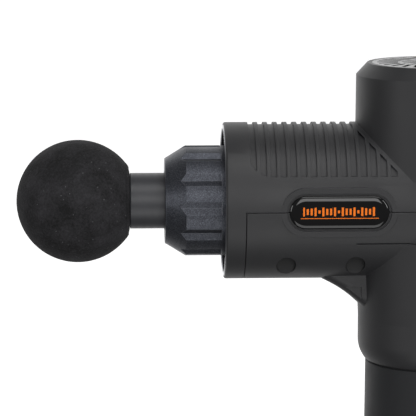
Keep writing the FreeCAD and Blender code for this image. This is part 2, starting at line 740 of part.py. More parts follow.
def drive_frame():
    """Cast frame: motor plate with a bearing tube, two rails and the ring that holds the guide."""
    tube = turned_z("bearing_tube", [
        ("3.2", "plate_up"),
        ("plate_radius", "plate_up"),
        ("plate_radius", "plate_up + plate_thick"),
        ("tube_radius + 1.5", "plate_up + plate_thick"),
        ("tube_radius", "plate_up + plate_thick + 1.5", "1.5", 1),
        ("tube_radius", "tube_top"),
        ("3.2", "tube_top"),
    ])
    ring = ring_x("guide_clamp", "guide_radius + running_gap", "22", "-nose_back + 0.3", "-67")
    rails = []
    for label, y in (("left", "-20.5"), ("right", "17")):
        rails.append(box(f"{label}_rail", "-69", y, "axis_z - 8", "85", "3.5", "plate_up + plate_thick + 8"))
        web = box(f"{label}_rail_slot", "-60", y + " - 1", "axis_z - 4", "26", "6", "10")
        rails[-1] = cut(f"{label}_rail_open", rails[-1], [web])
    bar = box("cross_bar", "-56", "-20", "axis_z + plate_up + 2", "6", "40", "3")
    seats = [
        cylinder("lower_seat", "Z", "bearing_radius + 0.02", "bearing_height + 0.1", "0", "0",
                 "axis_z + plate_up"),
        cylinder("upper_seat", "Z", "bearing_radius + 0.02", "bearing_height + 0.1", "0", "0",
                 "axis_z + tube_top - bearing_height - 0.1"),
    ]
    for side in (-1, 1):
        for x in (-10, 10):
            name = f"motor_bolt_hole_{len(seats)}"
            seats.append(cylinder(name, "Z", "1.6", "6", f"{x}", f"{side * 14}", "axis_z + plate_up - 1"))
    board_notch = box("board_notch", "board_face - board_thick - 1.2", "-14.5", "axis_z + plate_up - 1",
                      "20", "29", "plate_thick + 2")
    frame = fuse("drive_frame_solid", [tube, ring, bar] + rails)
    keep(cut("drive_frame", frame, seats + [board_notch]))


def rail_isolators():
    """Rubber blocks between the frame's rails and the shells."""
    blocks = []
    for label, y in (("left", "-24.4"), ("right", "20.7")):
        for place_name, x in (("front", "-58"), ("back", "-12")):
            blocks.append(box(f"{label}_{place_name}_isolator", x, y, "axis_z - 7", "10", "3.7", "14"))
    keep(group("rail_isolators", blocks))


def motor_bearings():
    for label, low in (("lower", "plate_up + 0.05"), ("upper", "tube_top - bearing_height - 0.05")):
        high = f"{low} + bearing_height"
        keep(turned_z(f"{label}_motor_bearing", [
            ("shaft_radius + 0.02", low),
            ("3.4", low),
            ("3.4", f"{low} + 0.4"),
            ("4.2", f"{low} + 0.4"),
            ("4.2", low),
            ("bearing_radius", low),
            ("bearing_radius", high),
            ("4.2", high),
            ("4.2", f"{high} - 0.4"),
            ("3.4", f"{high} - 0.4"),
            ("3.4", high),
            ("shaft_radius + 0.02", high),
        ]))


def motor_stator():
    """Laminated hub with twelve shoed teeth."""
    stator = new_body("motor_stator", "axis_z")
    hub = draw(stator, "stator_hub", "XY", circles=[("0", "0", "9.4"), ("0", "0", "tube_radius + 0.05")],
               offset="stator_low")
    extrude(stator, "stator_hub_pad", hub, "stator_high - stator_low")
    tooth = draw(stator, "tooth_outline", "XY", [[
        ("9", "-1.1"),
        ("14.2", "-1.1"),
        ("14.8", "-3.3"),
        ("stator_radius - 0.2", "-3.3"),
        ("stator_radius - 0.2", "3.3"),
        ("14.8", "3.3"),
        ("14.2", "1.1"),
        ("9", "1.1"),
    ]], offset="stator_low")
    pad = extrude(stator, "tooth_pad", tooth, "stator_high - stator_low")
    polar(stator, "teeth", [pad], "Z", "tooth_count")
    keep(stator)


def motor_windings():
    """One copper coil round each tooth."""
    coils = []
    for index in range(int(number("tooth_count"))):
        angle = index * 360 / number("tooth_count")
        outer = box(f"coil_{index + 1}_outside", "9.6", "-2.3", "axis_z + stator_low - 1.3",
                    "4.3", "4.6", "stator_high - stator_low + 2.6")
        inner = box(f"coil_{index + 1}_inside", "9", "-1.2", "axis_z + stator_low - 0.1",
                    "6", "2.4", "stator_high - stator_low + 0.2")
        coil = cut(f"coil_{index + 1}", outer, [inner])
        coil.Placement = FreeCAD.Placement(FreeCAD.Vector(), FreeCAD.Rotation(UPWARD, angle))
        coils.append(coil)
    keep(group("motor_windings", coils))


def rotor():
    """Shaft, can, magnets, fan and eccentric: everything that turns with the motor."""
    keep(turned_z("motor_shaft", [
        ("0", "shaft_low"),
        ("shaft_radius", "shaft_low"),
        ("shaft_radius", "shaft_high - 0.5"),
        ("shaft_radius - 0.5", "shaft_high"),
        ("0", "shaft_high"),
    ]))
    can = turned_z("rotor_can", [
        ("shaft_radius + 0.02", "can_high - 2.4"),
        ("can_radius - can_wall", "can_high - 2.4"),
        ("can_radius - can_wall", "can_low"),
        ("can_radius", "can_low"),
        ("can_radius", "can_high - 1.5"),
        ("can_radius - 1.5", "can_high", "1.5", 1),
        ("6", "can_high"),
        ("6", "can_high + 2"),
        ("shaft_radius + 0.02", "can_high + 2"),
    ])
    hole = draw(can, "can_hole_outline", "XY", circles=[("11.5", "0", "2.6")], offset="can_high + 1")
    vent = extrude(can, "can_hole", hole, "6", cut=True)
    polar(can, "can_holes", [vent], "Z", "8")
    keep(can)
    ring = ring_z("magnet_ring", "16.2", "can_radius - can_wall - 0.02",
                  "stator_low - 0.5", "stator_high + 1")
    gaps = []
    for index in range(7):
        gap = box(f"magnet_gap_{index + 1}", "-20", "-0.3", "0", "40", "0.6", "60")
        turned = group(f"magnet_gap_turned_{index + 1}", [gap])
        turned.Placement = FreeCAD.Placement(FreeCAD.Vector(), FreeCAD.Rotation(UPWARD, index * 180 / 7))
        bind(turned, "Placement.Base.z", "axis_z")
        gaps.append(turned)
    keep(cut("rotor_magnets", ring, gaps))
    fan = ring_z("cooling_fan", "shaft_radius + 0.02", "6", "fan_low", "fan_low + fan_height")
    blade = draw(fan, "blade_outline", "XY", [[
        ("5.5", "-0.6"),
        ("fan_radius - 1", "4.4"),
        ("fan_radius - 1.4", "5.8"),
        ("5.5", "0.6"),
    ]], offset="fan_low")
    pad = extrude(fan, "blade_pad", blade, "fan_height")
    polar(fan, "blades", [pad], "Z", "9")
    disc = draw(fan, "fan_disc", "XY", circles=[("0", "0", "fan_radius"), ("0", "0", "shaft_radius + 0.02")],
                offset="fan_low - 1")
    extrude(fan, "fan_disc_pad", disc, "1.2")
    keep(fan)
    crank = new_body("eccentric", "axis_z")
    web = draw(crank, "eccentric_outline", "XY", circles=[("-0.8", "0", "13")], offset="shaft_low - 0.3")
    extrude(crank, "eccentric_pad", web, "plate_up - shaft_low - 0.5")
    holes = draw(crank, "eccentric_holes", "XY",
                 circles=[("0", "0", "shaft_radius + 0.02"), ("crank_throw", "0", "2.1")], offset="plate_up")
    extrude(crank, "eccentric_cut", holes, "plate_up", cut=True)
    keep(crank)


def connecting_rod():
    """Aluminium rod with the big-end bearing, its pin and the small-end bush."""
    rod = new_body("connecting_rod", "axis_z")
    small = "crank_throw - rod_length"
    ends = draw(rod, "rod_big_end", "XY", circles=[("crank_throw", "0", "10.2")], offset="-rod_half")
    extrude(rod, "rod_big_end_pad", ends, "2 * rod_half")
    eye = draw(rod, "rod_small_end", "XY", circles=[(small, "0", "7")], offset="-rod_half")
    extrude(rod, "rod_small_end_pad", eye, "2 * rod_half")
    shank = draw(rod, "rod_shank", "XY", [[
        (small, "-3.6"),
        ("crank_throw", "-5"),
        ("crank_throw", "5"),
        (small, "3.6"),
    ]], offset="-rod_half")
    extrude(rod, "rod_shank_pad", shank, "2 * rod_half")
    bores = draw(rod, "rod_bores", "XY",
                 circles=[("crank_throw", "0", "8.02"), (small, "0", "4.52")], offset="rod_half + 1")
    extrude(rod, "rod_bores_cut", bores, "2 * rod_half + 2", cut=True)
    keep(rod)
    big = ("crank_throw", "0")
    race = cylinder("big_end_race", "Z", "8", "5", *big, "axis_z - 2.5")
    race_bore = cylinder("big_end_bore", "Z", "pin_radius + 0.02", "7", *big, "axis_z - 3.5")
    keep(cut("big_end_bearing", race, [race_bore]))
    shank = cylinder("crank_pin_shank", "Z", "pin_radius", "shaft_low + 2.6", *big, "axis_z - 3.2")
    flange = cylinder("crank_pin_flange", "Z", "5.4", "0.9", *big, "axis_z - 4.1")
    keep(fuse("crank_pin", [shank, flange]))
    bush = cylinder("bush_outside", "Z", "4.5", "2 * rod_half", small, "0", "axis_z - rod_half")
    bush_bore = cylinder("bush_bore", "Z", "wrist_radius + running_gap", "8", small, "0", "axis_z - 4")
    keep(cut("small_end_bush", bush, [bush_bore]))


def piston():
    """Piston with the head's socket in front and a clevis behind."""
    body = turned_x("piston", [
        ("-piston_front", "socket_radius + running_gap + 0.6"),
        ("-piston_front", "piston_radius - 0.5"),
        ("-piston_front + 0.5", "piston_radius"),
        ("-piston_back", "piston_radius"),
        ("-piston_back", "0"),
        ("-piston_front + socket_depth", "0"),
        ("-piston_front + socket_depth", "socket_radius + running_gap"),
        ("-piston_front + 0.6", "socket_radius + running_gap"),
    ])
    slot = draw(body, "clevis_slot", "XZ", [[
        ("crank_throw - rod_length - 8", "-rod_half - 0.35"),
        ("-piston_back + 1", "-rod_half - 0.35"),
        ("-piston_back + 1", "rod_half + 0.35"),
        ("crank_throw - rod_length - 8", "rod_half + 0.35"),
    ]])
    extrude(body, "clevis_cut", slot, "30", cut=True, both_ways=True)
    hole = draw(body, "wrist_hole", "XY", circles=[("crank_throw - rod_length", "0", "wrist_radius + 0.02")])
    extrude(body, "wrist_cut", hole, "30", cut=True, both_ways=True)
    keep(body)
    keep(cylinder("wrist_pin", "Z", "wrist_radius", "20", "crank_throw - rod_length", "0", "axis_z - 10"))
    keep(ring_x("guide_sleeve", "piston_radius + running_gap", "guide_radius", "-guide_front", "-guide_back"))
    keep(turned_x("wiper_seal", [
        ("-guide_front - 1.9", "piston_radius + 1.6"),
        ("-guide_front - 1.9", "guide_radius - 0.1"),
        ("-guide_front - 0.1", "guide_radius - 0.1"),
        ("-guide_front - 0.1", "piston_radius + 0.3"),
        ("-guide_front - 0.7", "piston_radius + 0.3"),
    ]))


def massage_head():
    """Foam ball on a plastic stem whose plug, with an o-ring, sits in the piston."""
    plug_end = "-piston_front + socket_depth - 1"
    shoulder = "-piston_front - 0.3"
    keep(turned_x("head_stem", [
        ("-spigot_end", "0"),
        ("-spigot_end", "spigot_radius + 2"),
        ("-spigot_end + 4", "spigot_radius + 2"),
        ("-spigot_end + 4", "spigot_radius"),
        ("-ball_flat - 2.5", "spigot_radius"),
        ("-ball_flat - 2.5", "spigot_radius + 1.2"),
        ("-ball_flat + 0.05", "spigot_radius + 1.2"),
        ("-ball_flat + 0.05", "stem_radius - 0.4"),
        ("-ball_flat + 0.45", "stem_radius", "0.4", -1),
        (f"{shoulder} - 0.5", "stem_radius"),
        (shoulder, "stem_radius - 0.5"),
        (shoulder, "socket_radius - 0.1"),
        ("-85.4", "socket_radius - 0.1"),
        ("-85.4", "socket_radius - 1.4"),
        ("-82.6", "socket_radius - 1.4"),
        ("-82.6", "socket_radius - 0.1"),
        (f"{plug_end} - 1", "socket_radius - 0.1"),
        (plug_end, "socket_radius - 1.1"),
        (plug_end, "0"),
    ]))
    keep(turned_x("head_o_ring", [
        ("-85.2", "socket_radius - 1.35"),
        ("-85.2", "socket_radius - 0.5"),
        ("-84.7", "socket_radius"),
        ("-83.3", "socket_radius"),
        ("-82.8", "socket_radius - 0.5"),
        ("-82.8", "socket_radius - 1.35"),
    ]))


def foam_ball():
    """Sphere with a flat back whose edge is rounded, hollow for the stem's core."""
    flat_reach = "(ball_middle - ball_flat)"
    corner_distance = "(ball_radius - ball_corner)"
    corner_x = f"({flat_reach} - ball_corner)"
    corner_up = f"sqrt({corner_distance} * {corner_distance} - {corner_x} * {corner_x})"
    stretch = f"(ball_radius / {corner_distance})"
    gap = "0.1"
    keep(turned_x("head_ball", [
        ("-ball_middle - ball_radius", "0"),
        (f"-ball_middle + {corner_x} * {stretch}", f"{corner_up} * {stretch}", "ball_radius", -1),
        ("-ball_flat", corner_up, "ball_corner", -1),
        ("-ball_flat", f"spigot_radius + 1.2 + {gap}"),
        (f"-ball_flat - 2.5 - {gap}", f"spigot_radius + 1.2 + {gap}"),
        (f"-ball_flat - 2.5 - {gap}", f"spigot_radius + {gap}"),
        (f"-spigot_end + 4 + {gap}", f"spigot_radius + {gap}"),
        (f"-spigot_end + 4 + {gap}", f"spigot_radius + 2 + {gap}"),
        (f"-spigot_end - {gap}", f"spigot_radius + 2 + {gap}"),
        (f"-spigot_end - {gap}", "0"),
    ]))


# ---------------------------------------------------------------- controls


def controls():
    plate = panel_opening("panel_plate", "0", "panel_inner", "panel_outer")
    holes = [
        box("display_hole", "20", "-display_half_width - 0.1",
            "axis_z + display_up - display_half_height - 0.1", "20",
            "2 * display_half_width + 0.2", "2 * display_half_height + 0.2"),
    ]
    buttons = [
        ("power_button", "power_radius", "0", "power_up"),
        ("plus_button", "step_radius", "-step_aside", "step_up"),
        ("minus_button", "step_radius", "step_aside", "step_up"),
    ]
    domes = []
    for name, radius, y, up in buttons:
        z = f"axis_z + {up}"
        holes.append(cylinder(name + "_hole", "X", f"{radius} + button_gap", "20", "20", y, z))
        cap = cylinder(name + "_cap", "X", radius, "panel_outer + 0.2 - button_back", "button_back", y, z)
        flange = cylinder(name + "_flange", "X", f"{radius} + 0.9", "1.2", "button_back", y, z)
        dish = document.addObject("Part::Sphere", name + "_dish")
        bind(dish, "Radius", "24")
        place(dish, "panel_outer + 23.8", y, z)
        keep(cut(name, fuse(name + "_solid", [cap, flange]), [dish]))
        domes.append(cylinder(name + "_dome", "X", f"{radius} - 1", "button_back - board_face - 1.1",
                              "board_face + 0.1", y, z))
    keep(cut("control_panel", plate, holes))
    keep(group("button_domes", domes))
    keep(box("display_module", "display_face - 3", "-display_half_width",
             "axis_z + display_up - display_half_height", "3",
             "2 * display_half_width", "2 * display_half_height"))
    keep(box("control_board", "board_face - board_thick", "-13", "axis_z + panel_low + 1",
             "board_thick", "26", "panel_high - panel_low - 2"))


# ---------------------------------------------------------------- handle


def handle_shells():
    core = turned_z("handle_core_turned", [
        ("core_radius - core_wall", "cap_height - 5.8"),
        ("core_radius", "cap_height - 5.8"),
        ("core_radius", "axis_z - rim_down + lip_height + 0.3"),
        ("core_radius + 1.2", "axis_z - rim_down + lip_height + 1.5"),
        ("core_radius + 1.2", "axis_z - rim_down + lip_height + 4"),
        ("core_radius", "axis_z - rim_down + lip_height + 4.6"),
        ("core_radius", "core_top"),
        ("core_radius - core_wall", "core_top"),
    ], "0")
    keep(turned_z("grip_sleeve", [
        ("core_radius + 0.05", "grip_low"),
        ("grip_low_radius", "grip_low"),
        ("grip_top_radius", "axis_z - rim_down - 1.4"),
        ("grip_top_radius - 0.7", "axis_z - rim_down - 0.7", "0.7", 1),
        ("core_radius + 0.05", "axis_z - rim_down - 0.7"),
    ], "0"))
    cap = turned_z("base_cap_turned", [
        ("0", "0"),
        ("cap_radius - cap_round", "0"),
        ("cap_radius", "cap_round", "cap_round", 1),
        ("grip_low_radius", "cap_height"),
        ("core_radius + 0.1", "cap_height"),
        ("core_radius + 0.1", "cap_height - 6"),
        ("cap_bore", "cap_height - 6"),
        ("cap_bore", "cap_floor"),
        ("0", "cap_floor"),
    ], "0")
    facet = box("cap_facet", "facet_x", "-20", "cap_floor + 1", "10", "40", "cap_height - 9")
    switch_hole = box("switch_hole", "15", "-5.7", "switch_z - 6.2", "15", "11.4", "12.4")
    jack_hole = cylinder("jack_hole", "X", "jack_radius + 0.05", "15", "15", "0", "jack_z")
    screws = []
    holes = []
    for label, side in (("left", -1), ("right", 1)):
        start = "-core_radius - 2.1" if side < 0 else "core_radius - 0.6"
        head = cylinder(f"{label}_cap_screw_head", "Y", "2.5", "1.5", "0",
                        "-cap_radius + 0.5" if side < 0 else "cap_radius - 2", "cap_height - 3")
        shank = cylinder(f"{label}_cap_screw_shank", "Y", "1.2", "2.7", "0", start, "cap_height - 3")
        slot = box(f"{label}_cap_screw_slot", "-2", "-cap_radius" if side < 0 else "cap_radius - 1.3",
                   "cap_height - 3.3", "4", "1.3", "0.6")
        screws.append(cut(f"{label}_cap_screw", fuse(f"{label}_cap_screw_solid", [head, shank]), [slot]))
        holes.append(cylinder(f"{label}_cap_screw_pocket", "Y", "2.55", "5", "0",
                              "-cap_radius - 2.95" if side < 0 else "cap_radius - 2.05", "cap_height - 3"))
        holes.append(cylinder(f"{label}_cap_screw_hole", "Y", "1.25", "10", "0",
                              "-cap_radius - 1" if side < 0 else "cap_radius - 9", "cap_height - 3"))
    through = cylinder("core_screw_holes", "Y", "1.25", "60", "0", "-30", "cap_height - 3")
    keep(cut("handle_core", core, [through]))
    keep(cut("base_cap", cap, [facet, switch_hole, jack_hole] + holes))
    keep(group("base_cap_screws", screws))


def switch_and_jack():
    body = box("switch_block", "16", "-5.6", "switch_z - 6.1", "facet_x - 16", "11.2", "12.2")
    bezel = box("switch_bezel", "facet_x + 0.05", "-6.8", "switch_z - 7.1", "1", "13.6", "14.2")
    well = box("switch_well", "19", "-4.7", "switch_z - 5.4", "10", "9.4", "10.8")
    neck = box("switch_neck", "facet_x - 1", "-5.6", "switch_z - 6.1", "1.5", "11.2", "12.2")
    pivot_holes = cylinder("switch_pivot_holes", "Y", "1.2", "12", "24", "-6", "switch_z")
    keep(cut("rocker_switch_body", fuse("switch_solid", [body, neck, bezel]), [well, pivot_holes]))
    paddle = new_body("rocker_switch_paddle", "switch_z")
    outline = draw(paddle, "paddle_outline", "XZ", [[
        ("22.6", "-2.2"),
        ("facet_x + 1.4", "-4.4"),
        ("facet_x + 1.2", "0"),
        ("facet_x", "4.4"),
        ("22.6", "2.6"),
    ]])
    extrude(paddle, "paddle_pad", outline, "8.8", both_ways=True)
    pivot = draw(paddle, "paddle_pivot_outline", "XZ", circles=[("24", "0", "1")])
    extrude(paddle, "paddle_pivot", pivot, "10.4", both_ways=True)
    keep(paddle)
    shell = new_body("charge_jack_shell", "jack_z")
    ring = draw(shell, "jack_outline", "YZ", offset="17",
                circles=[("0", "0", "jack_radius"), ("0", "0", "jack_bore")])
    extrude(shell, "jack_pad", ring, "facet_x - 17")
    back = draw(shell, "jack_back_outline", "YZ", offset="15.6",
                circles=[("0", "0", "jack_radius"), ("0", "0", "1.05")])
    extrude(shell, "jack_back_pad", back, "1.6")
    keep(shell)
    keep(cylinder("charge_jack_pin", "X", "1", "facet_x - 1.5 - 15.7", "15.7", "0", "jack_z"))


def cell_places():
    """The middles of the three cells in a layer; the gap between two of them faces the switch."""
    return [(math.cos(math.radians(angle)), math.sin(math.radians(angle))) for angle in (60, 180, 300)]


def battery():
    layers = (("lower", "cell_low"), ("upper", "cell_low + cell_length + cell_space"))
    cells = []
    for label, low in layers:
        for index, (across, aside) in enumerate(cell_places(), start=1):
            cells.append(cylinder(f"{label}_cell_{index}", "Z", "cell_radius", "cell_length",
                                  f"cell_circle * {across:.6f}", f"cell_circle * {aside:.6f}", low))
    keep(group("battery_cells", cells))

    top = "(cell_low + 2 * cell_length + cell_space)"
    holders = []
    for label, low, height in (
        ("low", "cell_low - 3", "7"),
        ("middle", "cell_low + cell_length - 3", "cell_space + 6"),
        ("top", f"{top} - 4", "7"),
    ):
        disc = cylinder(f"{label}_holder_disc", "Z", "22.4", height, "0", "0", low)
        notch = box(f"{label}_holder_notch", "14.9", "-30", low + " - 1", "20", "60", height + " + 2")
        pockets = []
        for layer, start in layers:
            for index, (across, aside) in enumerate(cell_places(), start=1):
                pockets.append(cylinder(f"{label}_holder_{layer}_pocket_{index}", "Z", "cell_radius + 0.1",
                                        "cell_length + 0.8", f"cell_circle * {across:.6f}",
                                        f"cell_circle * {aside:.6f}", start + " - 0.4"))
        holders.append(cut(f"{label}_holder", disc, [notch] + pockets))
    keep(group("battery_holders", holders))

    strips = []
    for label, low in (("low", "cell_low - 0.3"), ("top", f"{top} + 0.05")):
        for index, (across, aside) in enumerate(cell_places(), start=1):
            strips.append(cylinder(f"{label}_strip_{index}", "Z", "6", "0.25", f"cell_circle * {across:.6f}",
                                   f"cell_circle * {aside:.6f}", low))
    keep(group("nickel_strips", strips))

    level = f"{top} + 3.4"
    board = cylinder("battery_board_disc", "Z", "21", "board_thick", "0", "0", level)
    parts = [board]
    for index in range(4):
        parts.append(box(f"battery_chip_{index + 1}", f"{index * 8 - 15}", "-9", f"{level} + board_thick",
                         "5", "6", "1.5"))
    keep(fuse("battery_board", parts))

    level = "axis_z - 24.5"
    disc = cylinder("main_board_disc", "Z", "21", "board_thick", "0", "0", level)
    parts = [disc, box("driver_chip", "-6", "-6", f"{level} + board_thick - 0.01", "9", "9", "1.2")]
    for index in range(3):
        parts.append(cylinder(f"capacitor_{index + 1}", "Z", "3.1", "6.5", "12", f"{index * 8 - 8}",
                              f"{level} + board_thick - 0.01"))
    keep(fuse("main_board", parts))

    start = f"{top} + 3.4 + board_thick"
    length = f"{level} - 0.1 - ({start}) - 0.1"
    leads = []
    for index, y in enumerate((-4, 4), start=1):
        leads.append(cylinder(f"battery_lead_{index}", "Z", "1.1", length, "-18", f"{y}", f"{start} + 0.1"))
    keep(group("battery_leads", leads))


# ---------------------------------------------------------------- build, check and write

shells()
badges()
screws_and_plugs()
front_pieces()
roof_pieces()
drive_frame()
rail_isolators()
motor_bearings()
motor_stator()
motor_windings()
rotor()
connecting_rod()
piston()
massage_head()
foam_ball()
controls()
handle_shells()
switch_and_jack()
battery()

document.recompute()
for item in document.Objects:
    if "Invalid" in item.State or "Error" in item.State:
        raise RuntimeError(f"{item.Name} did not build: {item.State}")
for node in nodes:
    if node.Shape.isNull() or not node.Shape.isValid() or not node.Shape.Solids:
        raise RuntimeError(f"{node.Label} has no valid solid")
    node.Shape.exportStep(f"parts/{node.Label}.step")
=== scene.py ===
import math

import bpy
from mathutils import Euler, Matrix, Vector


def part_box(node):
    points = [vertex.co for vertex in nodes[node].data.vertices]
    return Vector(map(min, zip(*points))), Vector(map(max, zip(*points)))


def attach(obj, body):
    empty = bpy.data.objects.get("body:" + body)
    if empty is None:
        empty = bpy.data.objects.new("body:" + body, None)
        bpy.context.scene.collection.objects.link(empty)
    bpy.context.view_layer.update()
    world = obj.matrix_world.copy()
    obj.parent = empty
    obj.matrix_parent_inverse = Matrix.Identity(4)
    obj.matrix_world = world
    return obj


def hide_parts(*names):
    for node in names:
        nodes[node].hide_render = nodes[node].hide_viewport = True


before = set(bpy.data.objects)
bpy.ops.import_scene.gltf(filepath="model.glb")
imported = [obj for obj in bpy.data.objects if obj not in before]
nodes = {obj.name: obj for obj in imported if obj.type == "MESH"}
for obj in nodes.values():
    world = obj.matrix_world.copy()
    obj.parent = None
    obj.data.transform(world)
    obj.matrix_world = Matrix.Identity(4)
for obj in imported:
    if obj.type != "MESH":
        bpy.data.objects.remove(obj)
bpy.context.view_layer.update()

# Massage gun: looks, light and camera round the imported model, in metres. MM is one millimetre.
MM = 0.001

# ---------------------------------------------------------------- places read from the frame

ball_low, ball_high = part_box("head_ball")
nose_low, nose_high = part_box("nose_collar")
badge_low, badge_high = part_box("badge_left")
BARREL_Z = (nose_low.z + nose_high.z) / 2
BALL_RADIUS = (ball_high.z - ball_low.z) / 2
BALL_CENTRE = Vector((ball_low.x + BALL_RADIUS, 0, BARREL_Z))
RIB_RADIUS = 32 * MM
RIBS_FRONT = -68 * MM
RIBS_BACK = -33 * MM


# ---------------------------------------------------------------- small helpers


def colour(hex_value):
    """sRGB hex to the linear colour that shaders take."""
    parts = [int(hex_value[i:i + 2], 16) / 255 for i in (1, 3, 5)]
    linear = [part / 12.92 if part <= 0.04045 else ((part + 0.055) / 1.055) ** 2.4 for part in parts]
    return (*linear, 1.0)


def shade_of(hex_value, factor):
    """The same colour, darker or lighter."""
    return [min(channel * factor, 1) for channel in colour(hex_value)[:3]] + [1]


def add(tree, kind, links=None, **settings):
    """Add a node and set its fields or sockets; links gives sockets a source, or a plain number."""
    node = tree.nodes.new(kind)
    for name, value in settings.items():
        if name in node.bl_rna.properties:
            setattr(node, name, value)
        elif name.startswith("input_"):
            node.inputs[int(name[6:])].default_value = value
        else:
            node.inputs[name.replace("_", " ")].default_value = value
    for name, source in (links or {}).items():
        if isinstance(source, (int, float)):
            node.inputs[name].default_value = source
        else:
            tree.links.new(source, node.inputs[name])
    return node


def new_material(name):
    """An empty material with its shader and its Object coordinates."""
    material = bpy.data.materials.new(name)
    material.use_nodes = True
    tree = material.node_tree
    shader = tree.nodes["Principled BSDF"]
    place = add(tree, "ShaderNodeTexCoord").outputs["Object"]
    return material, tree, shader, place


def per_metre(millimetres):
    """Texture scale whose features are about this many millimetres across."""
    return 1000.0 / millimetres


def wave_scale(millimetres):
    """Wave texture scale whose bands repeat every so many millimetres."""
    return math.pi / 10 * per_metre(millimetres)


def select_only(piece):
    """Deselect all else and make the piece active."""
    bpy.ops.object.select_all(action="DESELECT")
    piece.select_set(True)
    bpy.context.view_layer.objects.active = piece


def finished(piece, name, material, body, smooth_angle=35):
    """Put the piece's place into its mesh, shade it, give it its material and let it ride."""
    select_only(piece)
    if piece.type != "MESH":
        bpy.ops.object.convert(target="MESH")
    bpy.ops.object.transform_apply(location=True, rotation=True, scale=True)
    bpy.ops.object.shade_smooth_by_angle(angle=math.radians(smooth_angle))
    piece.name = name
    piece.data.name = name
    piece.data.materials.clear()
    piece.data.materials.append(material)
    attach(piece, body)
    return piece


def select_faces(piece, test):
    """In edit mode, select the faces whose centre, normal and corners pass the test."""
    bpy.ops.object.mode_set(mode="EDIT")
    bpy.ops.mesh.select_mode(type="FACE")
    bpy.ops.mesh.select_all(action="DESELECT")
    bpy.ops.object.mode_set(mode="OBJECT")
    points = piece.data.vertices
    for face in piece.data.polygons:
        corners = [points[index].co for index in face.vertices]
        face.select = test(face.center, face.normal, corners)
    bpy.ops.object.mode_set(mode="EDIT")


def select_edges(piece, test):
    """In edit mode, select the edges whose two ends pass the test."""
    bpy.ops.object.mode_set(mode="EDIT")
    bpy.ops.mesh.select_mode(type="EDGE")
    bpy.ops.mesh.select_all(action="DESELECT")
    bpy.ops.object.mode_set(mode="OBJECT")
    points = piece.data.vertices
    for edge in piece.data.edges:
        edge.select = test(points[edge.vertices[0]].co, points[edge.vertices[1]].co)
    bpy.ops.object.mode_set(mode="EDIT")


# ---------------------------------------------------------------- materials


def edge_mask(tree, rounded):
    """A mask that is 1 along the edges that the rounded normal softens."""
    true_normal = add(tree, "ShaderNodeNewGeometry").outputs["True Normal"]
    same = add(tree, "ShaderNodeVectorMath", {0: rounded, 1: true_normal},
               operation="DOT_PRODUCT").outputs["Value"]
    mask = add(tree, "ShaderNodeMapRange", {"Value": same}, From_Min=0.995, From_Max=0.8, To_Min=0.0,
               To_Max=1.0)
    return mask.outputs["Result"]


def moulded_abs(name, hex_value, edge_hex, roughness=0.5, grain=0.45, depth=0.055):
    """Moulded ABS from a spark-eroded tool: an even fine grain that scatters the gloss into a soft sheen,
    slightly shinier and lighter along worn edges, with faint cloudy marks from handling."""
    material, tree, shader, place = new_material(name)
    rounded = add(tree, "ShaderNodeBevel", samples=6, Radius=0.35 * MM).outputs["Normal"]
    edges = edge_mask(tree, rounded)
    cloud = add(tree, "ShaderNodeTexNoise", {"Vector": place}, Scale=per_metre(22), Detail=3.0,
                Roughness=0.6)
    tint = add(tree, "ShaderNodeValToRGB", {"Fac": cloud.outputs["Fac"]})
    tint.color_ramp.elements[0].position = 0.35
    tint.color_ramp.elements[0].color = shade_of(hex_value, 0.94)
    tint.color_ramp.elements[1].position = 0.7
    tint.color_ramp.elements[1].color = shade_of(hex_value, 1.08)
    worn = add(tree, "ShaderNodeMix", {"Factor": edges, 6: tint.outputs["Color"]}, data_type="RGBA",
               input_7=colour(edge_hex))
    tree.links.new(worn.outputs[2], shader.inputs["Base Color"])
    gloss = add(tree, "ShaderNodeMapRange", {"Value": cloud.outputs["Fac"]}, From_Min=0.3, From_Max=0.7,
                To_Min=roughness - 0.04, To_Max=roughness + 0.05)
    tree.links.new(gloss.outputs["Result"], shader.inputs["Roughness"])
    # The real grain is about 0.1 mm; it is drawn coarser so that it shows.
    fine = add(tree, "ShaderNodeTexNoise", {"Vector": place}, Scale=per_metre(grain), Detail=4.0,
               Roughness=0.7)
    bump = add(tree, "ShaderNodeBump", {"Height": fine.outputs["Fac"], "Normal": rounded}, Strength=0.55,
               Distance=depth * MM)
    tree.links.new(bump.outputs["Normal"], shader.inputs["Normal"])
    shader.inputs["IOR"].default_value = 1.53
    return material


